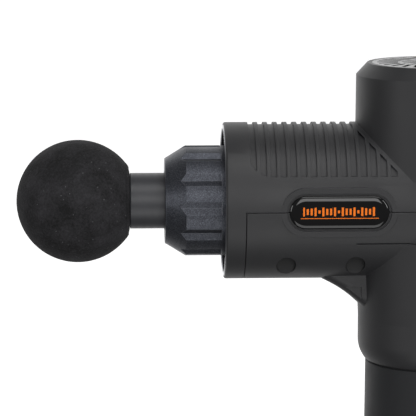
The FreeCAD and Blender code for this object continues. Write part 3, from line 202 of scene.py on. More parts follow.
def blasted_aluminium(name, hex_value, painted_glint_hex):
    """Bead-blasted, dark anodised aluminium: cool grey metal whose tiny dents, bumped into the surface,
    each catch the light their own way, so it glitters; the glitter is also painted into its colour as
    lighter flecks over the dents (painted glints), with bright worn edges along the flutes."""
    material, tree, shader, place = new_material(name)
    rounded = add(tree, "ShaderNodeBevel", samples=6, Radius=0.3 * MM).outputs["Normal"]
    edges = edge_mask(tree, rounded)
    # Blasting dents are about 0.1 mm; they are drawn at 0.2 mm so that they show.
    dents = add(tree, "ShaderNodeTexVoronoi", {"Vector": place}, Scale=per_metre(0.2))
    # Painted glints: some dent cells lighten the metal's colour toward a pale grey, a painted highlight
    # standing in for the light the dents catch.
    painted_glint_mask = add(tree, "ShaderNodeMapRange", {"Value": dents.outputs["Color"]}, From_Min=0.45,
                From_Max=0.95, To_Min=0.0, To_Max=0.3)
    painted_glints = add(tree, "ShaderNodeMix", {"Factor": painted_glint_mask.outputs["Result"]}, data_type="RGBA",
                 input_6=colour(hex_value), input_7=colour(painted_glint_hex))
    worn = add(tree, "ShaderNodeMath", {0: edges}, operation="MULTIPLY", input_1=0.8)
    bright = add(tree, "ShaderNodeMix", {"Factor": worn.outputs[0], 6: painted_glints.outputs[2]},
                 data_type="RGBA", input_7=colour("#9a9ca3"))
    tree.links.new(bright.outputs[2], shader.inputs["Base Color"])
    cloud = add(tree, "ShaderNodeTexNoise", {"Vector": place}, Scale=per_metre(6), Detail=4.0)
    gloss = add(tree, "ShaderNodeMapRange", {"Value": cloud.outputs["Fac"]}, From_Min=0.3, From_Max=0.7,
                To_Min=0.36, To_Max=0.46)
    tree.links.new(gloss.outputs["Result"], shader.inputs["Roughness"])
    bump = add(tree, "ShaderNodeBump", {"Height": dents.outputs["Distance"], "Normal": rounded},
               Strength=0.5, Distance=0.02 * MM)
    tree.links.new(bump.outputs["Normal"], shader.inputs["Normal"])
    shader.inputs["Metallic"].default_value = 0.85
    return material


def eva_foam(name):
    """Moulded EVA foam with an open skin: nearly black, no gloss, covered in fine pores."""
    material, tree, shader, place = new_material(name)
    # Pores are about 0.3 mm; they are drawn at 0.75 mm so that they show.
    pores = add(tree, "ShaderNodeTexVoronoi", {"Vector": place}, Scale=per_metre(0.75), Randomness=1.0)
    specks = add(tree, "ShaderNodeTexNoise", {"Vector": place}, Scale=per_metre(0.9), Detail=5.0,
                 Roughness=0.8)
    clouds = add(tree, "ShaderNodeTexNoise", {"Vector": place}, Scale=per_metre(11), Detail=3.0,
                 Roughness=0.55)
    mottle = add(tree, "ShaderNodeMix", {"A": specks.outputs["Fac"], "B": clouds.outputs["Fac"]},
                 Factor=0.45)
    shade = add(tree, "ShaderNodeValToRGB", {"Fac": mottle.outputs[0]})
    shade.color_ramp.elements[0].position = 0.4
    shade.color_ramp.elements[0].color = colour("#0c0c0d")
    shade.color_ramp.elements[1].position = 0.62
    shade.color_ramp.elements[1].color = colour("#302f32")
    # Stray lint caught in the pores: sparse pale flecks, drawn larger than real fibres so that they show.
    lint = add(tree, "ShaderNodeTexVoronoi", {"Vector": place}, Scale=per_metre(2.6), Randomness=1.0)
    fleck = add(tree, "ShaderNodeMapRange", {"Value": lint.outputs["Distance"]}, From_Min=0.05,
                From_Max=0.11, To_Min=0.55, To_Max=0.0)
    dusted = add(tree, "ShaderNodeMix", {"Factor": fleck.outputs["Result"], 6: shade.outputs["Color"]},
                 data_type="RGBA", input_7=colour("#6b6b6e"))
    tree.links.new(dusted.outputs[2], shader.inputs["Base Color"])
    soft = add(tree, "ShaderNodeTexNoise", {"Vector": place}, Scale=per_metre(9), Detail=2.0)
    height = add(tree, "ShaderNodeMath", {0: pores.outputs["Distance"], 1: specks.outputs["Fac"]},
                 operation="ADD")
    bump = add(tree, "ShaderNodeBump", {"Height": height.outputs[0]}, Strength=0.75, Distance=0.16 * MM)
    swell = add(tree, "ShaderNodeBump", {"Height": soft.outputs["Fac"], "Normal": bump.outputs["Normal"]},
                Strength=0.3, Distance=0.25 * MM)
    tree.links.new(swell.outputs["Normal"], shader.inputs["Normal"])
    shader.inputs["Roughness"].default_value = 0.92
    shader.inputs["IOR"].default_value = 1.4
    return material


def satin_nylon(name, hex_value, roughness):
    """Glass-filled nylon, moulded and lightly polished: a satin band of light with faint rings round
    the axis."""
    material, tree, shader, place = new_material(name)
    rounded = add(tree, "ShaderNodeBevel", samples=6, Radius=0.3 * MM).outputs["Normal"]
    speck = add(tree, "ShaderNodeTexNoise", {"Vector": place}, Scale=per_metre(1.1), Detail=4.0)
    tint = add(tree, "ShaderNodeMix", {"Factor": speck.outputs["Fac"]}, data_type="RGBA",
               input_6=shade_of(hex_value, 0.85), input_7=colour(hex_value))
    tree.links.new(tint.outputs[2], shader.inputs["Base Color"])
    rings = add(tree, "ShaderNodeTexWave", {"Vector": place}, Scale=wave_scale(3.16), Distortion=1.5,
                Detail=2.0, bands_direction="X")
    gloss = add(tree, "ShaderNodeMapRange", {"Value": rings.outputs["Fac"]}, To_Min=roughness - 0.01,
                To_Max=roughness + 0.02)
    tree.links.new(gloss.outputs["Result"], shader.inputs["Roughness"])
    bump = add(tree, "ShaderNodeBump", {"Height": speck.outputs["Fac"], "Normal": rounded}, Strength=0.25,
               Distance=0.03 * MM)
    tree.links.new(bump.outputs["Normal"], shader.inputs["Normal"])
    shader.inputs["IOR"].default_value = 1.53
    return material


def silicone(name, hex_value, roughness=0.58):
    """Moulded silicone rubber with a dusty, soft-touch surface and a faint sheen at grazing angles."""
    material, tree, shader, place = new_material(name)
    dust = add(tree, "ShaderNodeTexNoise", {"Vector": place}, Scale=per_metre(14), Detail=6.0,
               Roughness=0.65)
    tint = add(tree, "ShaderNodeMix", {"Factor": dust.outputs["Fac"]}, data_type="RGBA",
               input_6=shade_of(hex_value, 0.8), input_7=shade_of(hex_value, 1.25))
    tree.links.new(tint.outputs[2], shader.inputs["Base Color"])
    gloss = add(tree, "ShaderNodeMapRange", {"Value": dust.outputs["Fac"]}, From_Min=0.3, From_Max=0.7,
                To_Min=roughness - 0.05, To_Max=roughness + 0.08)
    tree.links.new(gloss.outputs["Result"], shader.inputs["Roughness"])
    grain = add(tree, "ShaderNodeTexNoise", {"Vector": place}, Scale=per_metre(0.5), Detail=3.0)
    bump = add(tree, "ShaderNodeBump", {"Height": grain.outputs["Fac"]}, Strength=0.4, Distance=0.04 * MM)
    tree.links.new(bump.outputs["Normal"], shader.inputs["Normal"])
    shader.inputs["IOR"].default_value = 1.43
    shader.inputs["Sheen Weight"].default_value = 0.06
    return material


def plated_chrome(name, hex_value="#d9dade", roughness=0.12):
    """Bright chrome plate over a turned ring: mirror-like, with hair-fine polishing lines and faint
    smears."""
    material, tree, shader, place = new_material(name)
    smear = add(tree, "ShaderNodeTexNoise", {"Vector": place}, Scale=per_metre(3), Detail=4.0)
    gloss = add(tree, "ShaderNodeMapRange", {"Value": smear.outputs["Fac"]}, From_Min=0.3, From_Max=0.7,
                To_Min=roughness - 0.04, To_Max=roughness + 0.06)
    tree.links.new(gloss.outputs["Result"], shader.inputs["Roughness"])
    lines = add(tree, "ShaderNodeTexWave", {"Vector": place}, Scale=wave_scale(0.79), Distortion=2.0,
                bands_direction="X")
    bump = add(tree, "ShaderNodeBump", {"Height": lines.outputs["Fac"]}, Strength=0.15,
               Distance=0.01 * MM)
    tree.links.new(bump.outputs["Normal"], shader.inputs["Normal"])
    shader.inputs["Base Color"].default_value = colour(hex_value)
    shader.inputs["Metallic"].default_value = 1.0
    return material


def machined_metal(name, hex_value, roughness, feature=0.8):
    """Turned or ground metal for the works: fine tool marks break up the reflection, with faint oil
    stains."""
    material, tree, shader, place = new_material(name)
    marks = add(tree, "ShaderNodeTexNoise", {"Vector": place}, Scale=per_metre(feature), Detail=5.0,
                Roughness=0.7)
    stain = add(tree, "ShaderNodeTexNoise", {"Vector": place}, Scale=per_metre(8), Detail=3.0)
    tint = add(tree, "ShaderNodeMix", {"Factor": stain.outputs["Fac"]}, data_type="RGBA",
               input_6=shade_of(hex_value, 0.75), input_7=colour(hex_value))
    tree.links.new(tint.outputs[2], shader.inputs["Base Color"])
    gloss = add(tree, "ShaderNodeMapRange", {"Value": marks.outputs["Fac"]}, From_Min=0.3, From_Max=0.7,
                To_Min=roughness - 0.06, To_Max=roughness + 0.08)
    tree.links.new(gloss.outputs["Result"], shader.inputs["Roughness"])
    bump = add(tree, "ShaderNodeBump", {"Height": marks.outputs["Fac"]}, Strength=0.3, Distance=0.03 * MM)
    tree.links.new(bump.outputs["Normal"], shader.inputs["Normal"])
    shader.inputs["Metallic"].default_value = 1.0
    return material


def circuit_board(name):
    """Green solder mask over copper tracks: a glossy board with a faint grid of lighter lines."""
    material, tree, shader, place = new_material(name)
    tracks = add(tree, "ShaderNodeTexBrick", {"Vector": place}, Scale=per_metre(4), Mortar_Size=0.03,
                 Color1=colour("#0f4a26"), Color2=colour("#125229"), Mortar=colour("#2b7a45"))
    tree.links.new(tracks.outputs["Color"], shader.inputs["Base Color"])
    shader.inputs["Roughness"].default_value = 0.3
    return material


def dust_mesh(name):
    """Woven nylon mesh: a fine dark net seen through the vents."""
    material, tree, shader, place = new_material(name)
    net = add(tree, "ShaderNodeTexChecker", {"Vector": place}, Scale=per_metre(0.8),
              Color1=colour("#0c0c0d"), Color2=colour("#2c2c2e"))
    tree.links.new(net.outputs["Color"], shader.inputs["Base Color"])
    shader.inputs["Roughness"].default_value = 0.8
    return material


def gloss_black(name, hex_value="#060607", roughness=0.05):
    """Clear-coated black plastic: deep black under a mirror gloss with the faintest ripple."""
    material, tree, shader, place = new_material(name)
    ripple = add(tree, "ShaderNodeTexNoise", {"Vector": place}, Scale=per_metre(6), Detail=1.0)
    bump = add(tree, "ShaderNodeBump", {"Height": ripple.outputs["Fac"]}, Strength=0.08,
               Distance=0.1 * MM)
    tree.links.new(bump.outputs["Normal"], shader.inputs["Normal"])
    smear = add(tree, "ShaderNodeMapRange", {"Value": ripple.outputs["Fac"]}, To_Min=roughness,
                To_Max=roughness + 0.05)
    tree.links.new(smear.outputs["Result"], shader.inputs["Roughness"])
    shader.inputs["Base Color"].default_value = colour(hex_value)
    shader.inputs["IOR"].default_value = 1.5
    return material


def printed_badge(name):
    """Clear resin dome over a black plate: an orange pulse trace and underline are printed under the
    gloss."""
    material, tree, shader, place = new_material(name)
    middle = Vector(((badge_low.x + badge_high.x) / 2, 0, (badge_low.z + badge_high.z) / 2))
    centred = add(tree, "ShaderNodeMapping", {"Vector": place}, Location=(-middle.x, 0, -middle.z))
    axes = add(tree, "ShaderNodeSeparateXYZ", {"Vector": centred.outputs["Vector"]})
    along = add(tree, "ShaderNodeMath", {0: axes.outputs["X"], 1: 1000}, operation="MULTIPLY").outputs[0]
    up = add(tree, "ShaderNodeMath", {0: axes.outputs["Z"], 1: 1000}, operation="MULTIPLY").outputs[0]

    # In millimetres: a row of bars whose height swells and falls like a pulse, over a fine line.
    pitch = 1.55
    half_bar = 0.42
    least_height = 0.55
    swell = 1.25
    swell_turn = 1.9
    row_height = 0.45
    half_row = 14.6
    line_drop = 2.2
    half_line = 0.14
    half_line_length = 15.5
    shifted = add(tree, "ShaderNodeMath", {0: along, 1: pitch / 4}, operation="ADD").outputs[0]
    folded = add(tree, "ShaderNodeMath", {0: shifted, 1: pitch / 2}, operation="PINGPONG").outputs[0]
    in_bar = add(tree, "ShaderNodeMath", {0: folded, 1: half_bar}, operation="LESS_THAN").outputs[0]
    pitches = add(tree, "ShaderNodeMath", {0: shifted, 1: pitch}, operation="DIVIDE").outputs[0]
    number = add(tree, "ShaderNodeMath", {0: pitches}, operation="ROUND").outputs[0]
    turn = add(tree, "ShaderNodeMath", {0: number, 1: swell_turn}, operation="MULTIPLY").outputs[0]
    swing = add(tree, "ShaderNodeMath", {0: turn}, operation="SINE").outputs[0]
    size = add(tree, "ShaderNodeMath", {0: swing}, operation="ABSOLUTE").outputs[0]
    reach = add(tree, "ShaderNodeMath", {0: size, 1: swell, 2: least_height},
                operation="MULTIPLY_ADD").outputs[0]
    lifted = add(tree, "ShaderNodeMath", {0: up, 1: row_height}, operation="SUBTRACT").outputs[0]
    off_row = add(tree, "ShaderNodeMath", {0: lifted}, operation="ABSOLUTE").outputs[0]
    in_height = add(tree, "ShaderNodeMath", {0: off_row, 1: reach}, operation="LESS_THAN").outputs[0]
    aside = add(tree, "ShaderNodeMath", {0: along}, operation="ABSOLUTE").outputs[0]
    in_row = add(tree, "ShaderNodeMath", {0: aside, 1: half_row}, operation="LESS_THAN").outputs[0]
    on_bar = add(tree, "ShaderNodeMath", {0: in_bar, 1: in_height}, operation="MULTIPLY").outputs[0]
    bars = add(tree, "ShaderNodeMath", {0: on_bar, 1: in_row}, operation="MULTIPLY").outputs[0]
    dropped = add(tree, "ShaderNodeMath", {0: up, 1: line_drop}, operation="ADD").outputs[0]
    off_line = add(tree, "ShaderNodeMath", {0: dropped}, operation="ABSOLUTE").outputs[0]
    on_line = add(tree, "ShaderNodeMath", {0: off_line, 1: half_line}, operation="LESS_THAN").outputs[0]
    in_line = add(tree, "ShaderNodeMath", {0: aside, 1: half_line_length},
                  operation="LESS_THAN").outputs[0]
    line = add(tree, "ShaderNodeMath", {0: on_line, 1: in_line}, operation="MULTIPLY").outputs[0]
    inked = add(tree, "ShaderNodeMath", {0: bars, 1: line}, operation="MAXIMUM").outputs[0]
    ink = add(tree, "ShaderNodeMix", {"Factor": inked}, data_type="RGBA", input_6=colour("#030304"),
              input_7=colour("#f27a22"))
    tree.links.new(ink.outputs[2], shader.inputs["Base Color"])
    ripple = add(tree, "ShaderNodeTexNoise", {"Vector": place}, Scale=per_metre(9), Detail=1.0)
    bump = add(tree, "ShaderNodeBump", {"Height": ripple.outputs["Fac"]}, Strength=0.05,
               Distance=0.1 * MM)
    tree.links.new(bump.outputs["Normal"], shader.inputs["Normal"])
    shader.inputs["Roughness"].default_value = 0.6
    shader.inputs["Specular IOR Level"].default_value = 0.0
    shader.inputs["Coat Weight"].default_value = 1.0
    shader.inputs["Coat Roughness"].default_value = 0.03
    return material


def lit_segments(name, hex_value, strength):
    """Backlit display segments: a cool even glow."""
    material, tree, shader, place = new_material(name)
    glow = add(tree, "ShaderNodeTexNoise", {"Vector": place}, Scale=per_metre(1.5))
    tint = add(tree, "ShaderNodeMix", {"Factor": glow.outputs["Fac"]}, data_type="RGBA",
               input_6=colour(hex_value), input_7=colour("#ffffff"))
    tree.links.new(tint.outputs[2], shader.inputs["Emission Color"])
    shader.inputs["Base Color"].default_value = colour(hex_value)
    shader.inputs["Emission Strength"].default_value = strength
    return material


def white_print(name):
    """Pad-printed white ink: matt, slightly uneven in its cover."""
    material, tree, shader, place = new_material(name)
    cover = add(tree, "ShaderNodeTexNoise", {"Vector": place}, Scale=per_metre(0.6), Detail=3.0)
    tint = add(tree, "ShaderNodeMix", {"Factor": cover.outputs["Fac"]}, data_type="RGBA",
               input_6=colour("#b9bbbe"), input_7=colour("#f0f1f2"))
    tree.links.new(tint.outputs[2], shader.inputs["Base Color"])
    shader.inputs["Roughness"].default_value = 0.6
    return material


ABS_SHELL = moulded_abs("moulded_abs_shell", "#1f1f21", "#2d2d30")
ABS_CAP = moulded_abs("moulded_abs_cap", "#1f1f21", "#2d2d30", roughness=0.3, grain=0.3, depth=0.012)
# The last colour is the pale grey of the painted glints on the nose.
ALUMINIUM_NOSE = blasted_aluminium("anodised_blasted_aluminium", "#383a40", "#9497a0")
FOAM = eva_foam("eva_foam")
NYLON_STEM = satin_nylon("satin_nylon_stem", "#323337", 0.42)
NYLON_BLACK = satin_nylon("glass_filled_nylon", "#1d1e20", 0.45)
GRIP = silicone("silicone_grip", "#151619")
PLUG = silicone("plug_silicone", "#141415", 0.6)
RUBBER = silicone("black_rubber", "#121213", 0.7)
ORING = silicone("red_silicone", "#8c2a22", 0.5)
PALE_SILICONE = silicone("pale_silicone", "#b9babc", 0.5)
CHROME = plated_chrome("plated_chrome")
BLACK_CHROME = plated_chrome("black_chrome", "#8a8b90", 0.16)
SATIN_CHROME = plated_chrome("satin_chrome", "#b4b6ba", 0.3)
GLOSS = gloss_black("gloss_black_plastic")
GLASS = gloss_black("smoked_display_glass", "#050708", 0.02)
BADGE = printed_badge("resin_domed_badge")
STEEL = machined_metal("ground_steel", "#c4c5c8", 0.28)
DARK_STEEL = machined_metal("black_oxide_steel", "#3a3a3c", 0.42)
CAST_ALUMINIUM = machined_metal("die_cast_aluminium", "#b4b6ba", 0.45, feature=1.5)
BRONZE = machined_metal("sintered_bronze", "#b08a4e", 0.45, feature=0.6)
COPPER = machined_metal("enamelled_copper", "#b4602c", 0.3, feature=0.9)
ACETAL = satin_nylon("filled_acetal", "#cfcdc4", 0.4)
CELL_WRAP = satin_nylon("cell_shrink_wrap", "#2c6a9c", 0.35)
BOARD = circuit_board("solder_mask_board")
MESH = dust_mesh("woven_dust_mesh")
SEGMENTS = lit_segments("backlit_segments", "#cfe6ff", 1.6)
PRINT = white_print("white_pad_print")

FINISHES = {
    ABS_SHELL: ["upper_shell", "left_lower_shell", "right_lower_shell", "base_cap"],
    ABS_CAP: ["top_vent_cap", "power_button", "plus_button", "minus_button"],
    ALUMINIUM_NOSE: ["nose_collar"],
    FOAM: ["head_ball"],
    NYLON_STEM: ["head_stem"],
    NYLON_BLACK: ["handle_core", "battery_holders", "cooling_fan", "rocker_switch_paddle"],
    GRIP: ["grip_sleeve"],
    PLUG: ["screw_plugs"],
    RUBBER: ["front_damping_ring", "rail_isolators", "wiper_seal"],
    ORING: ["head_o_ring", "battery_leads"],
    PALE_SILICONE: ["button_domes"],
    CHROME: ["charge_jack_pin"],
    BLACK_CHROME: ["front_trim_ring"],
    SATIN_CHROME: ["vent_centre_plug"],
    GLOSS: ["control_panel", "rocker_switch_body", "charge_jack_shell"],
    GLASS: ["display_module"],
    BADGE: ["badge_left", "badge_right"],
    STEEL: ["lower_motor_bearing", "upper_motor_bearing", "motor_shaft", "rotor_magnets", "eccentric",
            "crank_pin", "big_end_bearing", "wrist_pin", "nickel_strips"],
    DARK_STEEL: ["shell_screws", "base_cap_screws", "rotor_can", "motor_stator"],
    CAST_ALUMINIUM: ["drive_frame", "connecting_rod", "piston"],
    BRONZE: ["small_end_bush"],
    COPPER: ["motor_windings"],
    ACETAL: ["guide_sleeve"],
    CELL_WRAP: ["battery_cells"],
    BOARD: ["control_board", "battery_board", "main_board"],
    MESH: ["vent_dust_filter"],
}

for material, names in FINISHES.items():
    for name in names:
        nodes[name].data.materials.clear()
        nodes[name].data.materials.append(material)

# ---------------------------------------------------------------- grooved shell


def on_ribs(centre, normal, corners):
    """True for the faces of the barrel's skin between the grooves."""
    radii = [math.hypot(corner.y, corner.z - BARREL_Z) for corner in corners]
    on_skin = all(abs(radius - RIB_RADIUS) < 0.03 * MM for radius in radii)
    return on_skin and RIBS_FRONT < centre.x < RIBS_BACK and centre.z > BARREL_Z + 14 * MM


def smooth_shell(node, material, body):
    """A merged copy of a shell, its long triangles turned so that each rib is an even strip."""
    mesh = nodes[node].data.copy()
    piece = bpy.data.objects.new(f"{node}_skin", mesh)
    bpy.context.scene.collection.objects.link(piece)
    select_only(piece)
    bpy.ops.mesh.customdata_custom_splitnormals_clear()
    bpy.ops.object.mode_set(mode="EDIT")
    bpy.ops.mesh.select_all(action="SELECT")
    bpy.ops.mesh.remove_doubles(threshold=0.002 * MM)
    select_faces(piece, on_ribs)
    bpy.ops.mesh.beautify_fill(angle_limit=math.pi)
    bpy.ops.object.mode_set(mode="OBJECT")
    finished(piece, f"{node}_skin", material, body, smooth_angle=28)
    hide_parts(node)


smooth_shell("upper_shell", ABS_SHELL, "casing")

# ---------------------------------------------------------------- foam ball


def foam_ball():
    """Sphere cut flat where it meets the stem, with a soft rolled edge."""
    rolled_edge = 2.6 * MM
    flat_border = 0.3 * MM
    bpy.ops.object.select_all(action="DESELECT")
    bpy.ops.mesh.primitive_uv_sphere_add(segments=96, ring_count=64, radius=BALL_RADIUS,
                                         location=BALL_CENTRE, rotation=(0, math.radians(90), 0))
    ball = bpy.context.active_object
    bpy.ops.object.transform_apply(location=True, rotation=True, scale=True)
    bpy.ops.object.mode_set(mode="EDIT")
    bpy.ops.mesh.select_all(action="SELECT")
    bpy.ops.mesh.bisect(plane_co=(ball_high.x, 0, BARREL_Z), plane_no=(1, 0, 0), clear_outer=True,
                        use_fill=True)
    flat = ball_high.x - 0.02 * MM
    select_edges(ball, lambda a, b: a.x > flat and b.x > flat)
    bpy.ops.mesh.bevel(offset=rolled_edge, segments=6, affect="EDGES")
    select_faces(ball, lambda centre, normal, corners: normal.x > 0.999 and centre.x > flat)
    bpy.ops.mesh.inset(thickness=flat_border)
    bpy.ops.object.mode_set(mode="OBJECT")
    return finished(ball, "foam_ball", FOAM, "head", smooth_angle=50)


ball = foam_ball()
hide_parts("head_ball")

# ---------------------------------------------------------------- domed badges


def domed_badge(side):
    """Stadium plate whose face rises in steps into a resin dome."""
    label = "left" if side < 0 else "right"
    low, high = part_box(f"badge_{label}")
    radius = (high.z - low.z) / 2
    half = (high.x - low.x) / 2 - radius
    middle = Vector(((low.x + high.x) / 2, 0, (low.z + high.z) / 2))
    inner = low.y if side > 0 else high.y
    edge_height = 0.55 * MM
    bpy.ops.object.select_all(action="DESELECT")
    bpy.ops.mesh.primitive_cylinder_add(vertices=96, radius=radius, depth=edge_height,
                                        location=(0, 0, edge_height / 2))
    plate = bpy.context.active_object
    bpy.ops.object.transform_apply(location=True, rotation=True, scale=True)
    for point in plate.data.vertices:
        point.co.x += half if point.co.x > 0 else -half
    select_faces(plate, lambda centre, normal, corners: normal.z > 0.9)
    # The dome is a quarter-ellipse section: each ring is inset and lifted by what the curve asks for.
    rise = high.y - low.y - edge_height
    shoulder = 2.6 * MM
    rings = 7
    for ring in range(rings):
        start = math.pi / 2 * ring / rings
        end = math.pi / 2 * (ring + 1) / rings
        step_in = shoulder * (math.cos(start) - math.cos(end))
        step_up = rise * (math.sin(end) - math.sin(start))
        bpy.ops.mesh.inset(thickness=step_in)
        bpy.ops.transform.translate(value=(0, 0, step_up))
    bpy.ops.object.mode_set(mode="OBJECT")
    plate.rotation_euler = Euler((math.radians(-90 if side > 0 else 90), 0, 0))
    plate.location = (middle.x, inner, middle.z)
    piece = finished(plate, f"badge_dome_{label}", BADGE, "casing", smooth_angle=60)
    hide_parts(f"badge_{label}")


for side in (-1, 1):
    domed_badge(side)

# ---------------------------------------------------------------- marks on the controls


def bar(width, height, depth, place_at):
    """A thin printed bar with rounded corners, facing the back of the gun (+X)."""
    bpy.ops.object.select_all(action="DESELECT")
    bpy.ops.mesh.primitive_cube_add(size=1, location=(0, 0, 0))
    piece = bpy.context.active_object
    piece.scale = (depth, width, height)
    bpy.ops.object.transform_apply(location=True, rotation=True, scale=True)
    corner = 0.45 * min(width, height)
    select_edges(piece, lambda a, b: abs(a.x - b.x) > depth / 2)
    bpy.ops.mesh.bevel(offset=corner, segments=4, affect="EDGES")
    bpy.ops.object.mode_set(mode="OBJECT")
    piece.location = place_at
    bpy.ops.object.transform_apply(location=True, rotation=True, scale=True)
    return piece


def joined(pieces):
    """Several pieces made one."""
    bpy.ops.object.select_all(action="DESELECT")
    for piece in pieces:
        piece.select_set(True)
    bpy.context.view_layer.objects.active = pieces[0]
    bpy.ops.object.join()
    return bpy.context.view_layer.objects.active


def face_of(node):
    """The middle of a node's back face."""
    low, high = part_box(node)
    return Vector((high.x, (low.y + high.y) / 2, (low.z + high.z) / 2))


def mark(piece, name, material, body):
    """Finish a mark and let it ride with the body of the part it is printed on."""
    finished(piece, name, material, body)


def plus_and_minus_marks():
    """Printed strokes on the two speed buttons."""
    arm = 3.2 * MM
    stroke = 0.7 * MM
    depth = 0.24 * MM
    sunk = Vector((-0.25 * MM, 0, 0))
    plus_at = face_of("plus_button") + sunk
    plus = joined([bar(arm, stroke, depth, plus_at), bar(stroke, arm, depth, plus_at)])
    mark(plus, "plus_mark", PRINT, "plus_button")
    minus_at = face_of("minus_button") + sunk
    mark(bar(arm, stroke, depth, minus_at), "minus_mark", PRINT, "minus_button")


def power_mark():
    """A ring open at the top, with an upright stroke in the gap."""
    centre_at = face_of("power_button") + Vector((-0.28 * MM, 0, 0))
    ring_radius = 1.9 * MM
    wire_radius = 0.34 * MM
    half_gap = 0.9 * MM
    gap_from = centre_at.z + 1.2 * MM
    bpy.ops.object.select_all(action="DESELECT")
    bpy.ops.mesh.primitive_torus_add(major_radius=ring_radius, minor_radius=wire_radius,
                                     major_segments=48, minor_segments=10, location=centre_at,
                                     rotation=(0, math.radians(90), 0))
    ring = bpy.context.active_object
    bpy.ops.object.transform_apply(location=True, rotation=True, scale=True)
    select_faces(ring, lambda centre, normal, corners: centre.z > gap_from
                 and abs(centre.y - centre_at.y) < half_gap)
    bpy.ops.mesh.delete(type="FACE")
    bpy.ops.mesh.select_mode(type="EDGE")
    bpy.ops.mesh.select_all(action="DESELECT")
    bpy.ops.mesh.select_non_manifold()
    bpy.ops.mesh.fill()
    bpy.ops.object.mode_set(mode="OBJECT")
    stroke_width = 0.66 * MM
    stroke_height = 2.0 * MM
    stroke_depth = 0.5 * MM
    stroke_rise = Vector((0, 0, 1.7 * MM))
    stroke = bar(stroke_width, stroke_height, stroke_depth, centre_at + stroke_rise)
    mark(joined([ring, stroke]), "power_mark", PRINT, "power_button")


def digit(lit, centre, height):
    """Seven-segment digit; lit names the segments a to g that glow."""
    width = height * 0.55
    thick = height * 0.11
    depth = 0.1 * MM
    places = {
        "a": (0, height / 2, True), "g": (0, 0, True), "d": (0, -height / 2, True),
        "f": (-width / 2, height / 4, False), "b": (width / 2, height / 4, False),
        "e": (-width / 2, -height / 4, False), "c": (width / 2, -height / 4, False),
    }
    pieces = []
    for name in lit:
        aside, up, flat = places[name]
        long_side = (width if flat else height / 2) - thick * 0.9
        size = (long_side, thick) if flat else (thick, long_side)
        pieces.append(bar(size[0], size[1], depth, centre + Vector((0, aside, up))))
    return pieces


def display():
    """A lit digit for the speed, five level marks of which three are tall, and three battery bars."""
    glass = face_of("display_module") + Vector((0.03 * MM, 0, 0))
    depth = 0.1 * MM
    digit_height = 5.2 * MM
    pieces = digit("abcdg", glass + Vector((0, -1.2 * MM, 1.0 * MM)), digit_height)
    level = 3
    level_width = 1.5 * MM
    level_pitch = 2.1 * MM
    level_drop = 4.0 * MM
    for index in range(5):
        lit_height = (1.0 if index < level else 0.45) * MM
        place_at = glass + Vector((0, (index - 2) * level_pitch, -level_drop))
        pieces.append(bar(level_width, lit_height, depth, place_at))
    battery_width = 0.55 * MM
    for index in range(3):
        battery_height = (1.0 + index * 0.8) * MM
        place_at = glass + Vector((0, (3.6 + index * 0.95) * MM, (2.0 + index * 0.4) * MM))
        pieces.append(bar(battery_width, battery_height, depth, place_at))
    mark(joined(pieces), "display_segments", SEGMENTS, "casing")


def switch_mark():
    """The upright stroke at the rocker's on end."""
    low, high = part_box("rocker_switch_paddle")
    middle = (low.z + high.z) / 2
    face_x = low.x + (high.x - low.x) * 0.86
    rise = 2.3 * MM
    width = 0.5 * MM
    height = 1.6 * MM
    depth = 0.3 * MM
    stroke = bar(width, height, depth, Vector((face_x, 0, middle + rise)))
    mark(stroke, "switch_on_mark", PRINT, "rocker")


def seam_tongue():
    """The tongue behind the back seam of the lower shells, which keeps the gap dark."""
    thickness = 0.8 * MM
    width = 4 * MM
    height = 44 * MM
    wall_x = 27.4 * MM
    rounding = 0.3 * MM
    top = BARREL_Z - 3 * MM
    bpy.ops.object.select_all(action="DESELECT")
    bpy.ops.mesh.primitive_cube_add(size=1, location=(wall_x, 0, top - height / 2))
    strip = bpy.context.active_object
    strip.scale = (thickness, width, height)
    bpy.ops.object.transform_apply(location=True, rotation=True, scale=True)
    select_edges(strip, lambda a, b: abs(a.z - b.z) > height / 2)
    bpy.ops.mesh.bevel(offset=rounding, segments=3, affect="EDGES")
    bpy.ops.object.mode_set(mode="OBJECT")
    finished(strip, "back_seam_tongue", NYLON_BLACK, "casing")


plus_and_minus_marks()
power_mark()
display()
switch_mark()
seam_tongue()

# ---------------------------------------------------------------- floor, light and camera


def floor():
    """A white sheet that is lit from within a little, so that it stays white to its edges."""
    bpy.ops.object.select_all(action="DESELECT")
    bpy.ops.mesh.primitive_plane_add(size=16, location=(0, 0, 0))
    sheet = bpy.context.active_object
    sheet.name = "floor"
    material, _, shader, _ = new_material("white_studio_floor")
    shader.inputs["Base Color"].default_value = colour("#f4f4f4")
    shader.inputs["Roughness"].default_value = 0.9
    shader.inputs["Emission Color"].default_value = (1, 1, 1, 1)
    shader.inputs["Emission Strength"].default_value = 0.65
    sheet.data.materials.append(material)
    # It takes shadows, but throws no light back up onto the gun.
    sheet.visible_diffuse = False
    sheet.visible_glossy = False
    sheet.visible_shadow = False


# Name, width and height in metres, watts, and place from the middle of the barrel.
LIGHTS = (
    ("top_softbox", 1.2, 0.5, 5.5, (0.25, -0.45, 1.0)),
    ("front_softbox", 0.7, 0.6, 4.4, (0.1, -1.3, 0.35)),
    ("low_softbox", 1.0, 0.6, 3.5, (0.05, -0.85, -0.75)),
    ("left_strip", 0.2, 0.45, 2.4, (-0.95, -0.75, 0.15)),
    ("right_strip", 0.22, 0.6, 2.6, (0.9, -0.8, 0.35)),
)


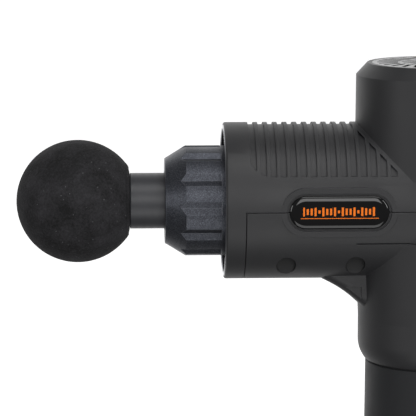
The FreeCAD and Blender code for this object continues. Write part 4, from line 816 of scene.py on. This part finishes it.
def light(name, width, height, watts, offset, target):
    """A softbox that faces its target."""
    lamp = bpy.data.lights.new(name, "AREA")
    lamp.shape = "RECTANGLE"
    lamp.size = width
    lamp.size_y = height
    lamp.energy = watts
    holder = bpy.data.objects.new(name, lamp)
    bpy.context.scene.collection.objects.link(holder)
    holder.location = target + Vector(offset)
    holder.rotation_euler = (-Vector(offset)).to_track_quat("-Z", "Y").to_euler()


def studio():
    """A white sweep behind the gun and a dim room in front of it, so edges shine and faces stay dark."""
    world = bpy.data.worlds.new("studio")
    bpy.context.scene.world = world
    world.use_nodes = True
    tree = world.node_tree
    background = tree.nodes["Background"]
    background.inputs["Color"].default_value = (1, 1, 1, 1)
    direction = add(tree, "ShaderNodeTexCoord").outputs["Generated"]
    axes = add(tree, "ShaderNodeSeparateXYZ", {"Vector": direction})
    sweep = add(tree, "ShaderNodeMapRange", {"Value": axes.outputs["Y"]}, From_Min=0.35, From_Max=0.92,
                To_Min=0.24, To_Max=1.45)
    below = add(tree, "ShaderNodeMapRange", {"Value": axes.outputs["Z"]}, From_Min=-0.6, From_Max=0.0,
                To_Min=0.75, To_Max=1.0)
    glow = add(tree, "ShaderNodeMath", {0: sweep.outputs["Result"], 1: below.outputs["Result"]},
               operation="MULTIPLY")
    tree.links.new(glow.outputs[0], background.inputs["Strength"])
    middle = Vector((-0.07, 0, BARREL_Z))
    for name, width, height, watts, offset in LIGHTS:
        light(name, width, height, watts, offset, middle)


def camera():
    """A long lens about a metre away, a little ahead of the gun and above it."""
    azimuth = math.radians(-2.2)
    elevation = math.radians(8.75)
    distance = 1.05
    look_at = Vector((-92.2 * MM, 0, BARREL_Z - 3.2 * MM))
    back = Vector((math.sin(azimuth) * math.cos(elevation), -math.cos(azimuth) * math.cos(elevation),
                   math.sin(elevation)))
    lens = bpy.data.cameras.new("camera")
    lens.sensor_width = 36
    lens.lens = 222
    lens.clip_end = 50
    holder = bpy.data.objects.new("camera", lens)
    bpy.context.scene.collection.objects.link(holder)
    holder.location = look_at + back * distance
    holder.rotation_euler = (-back).to_track_quat("-Z", "Y").to_euler()
    bpy.context.scene.camera = holder


floor()
studio()
camera()
bpy.context.scene.view_settings.view_transform = "Standard"
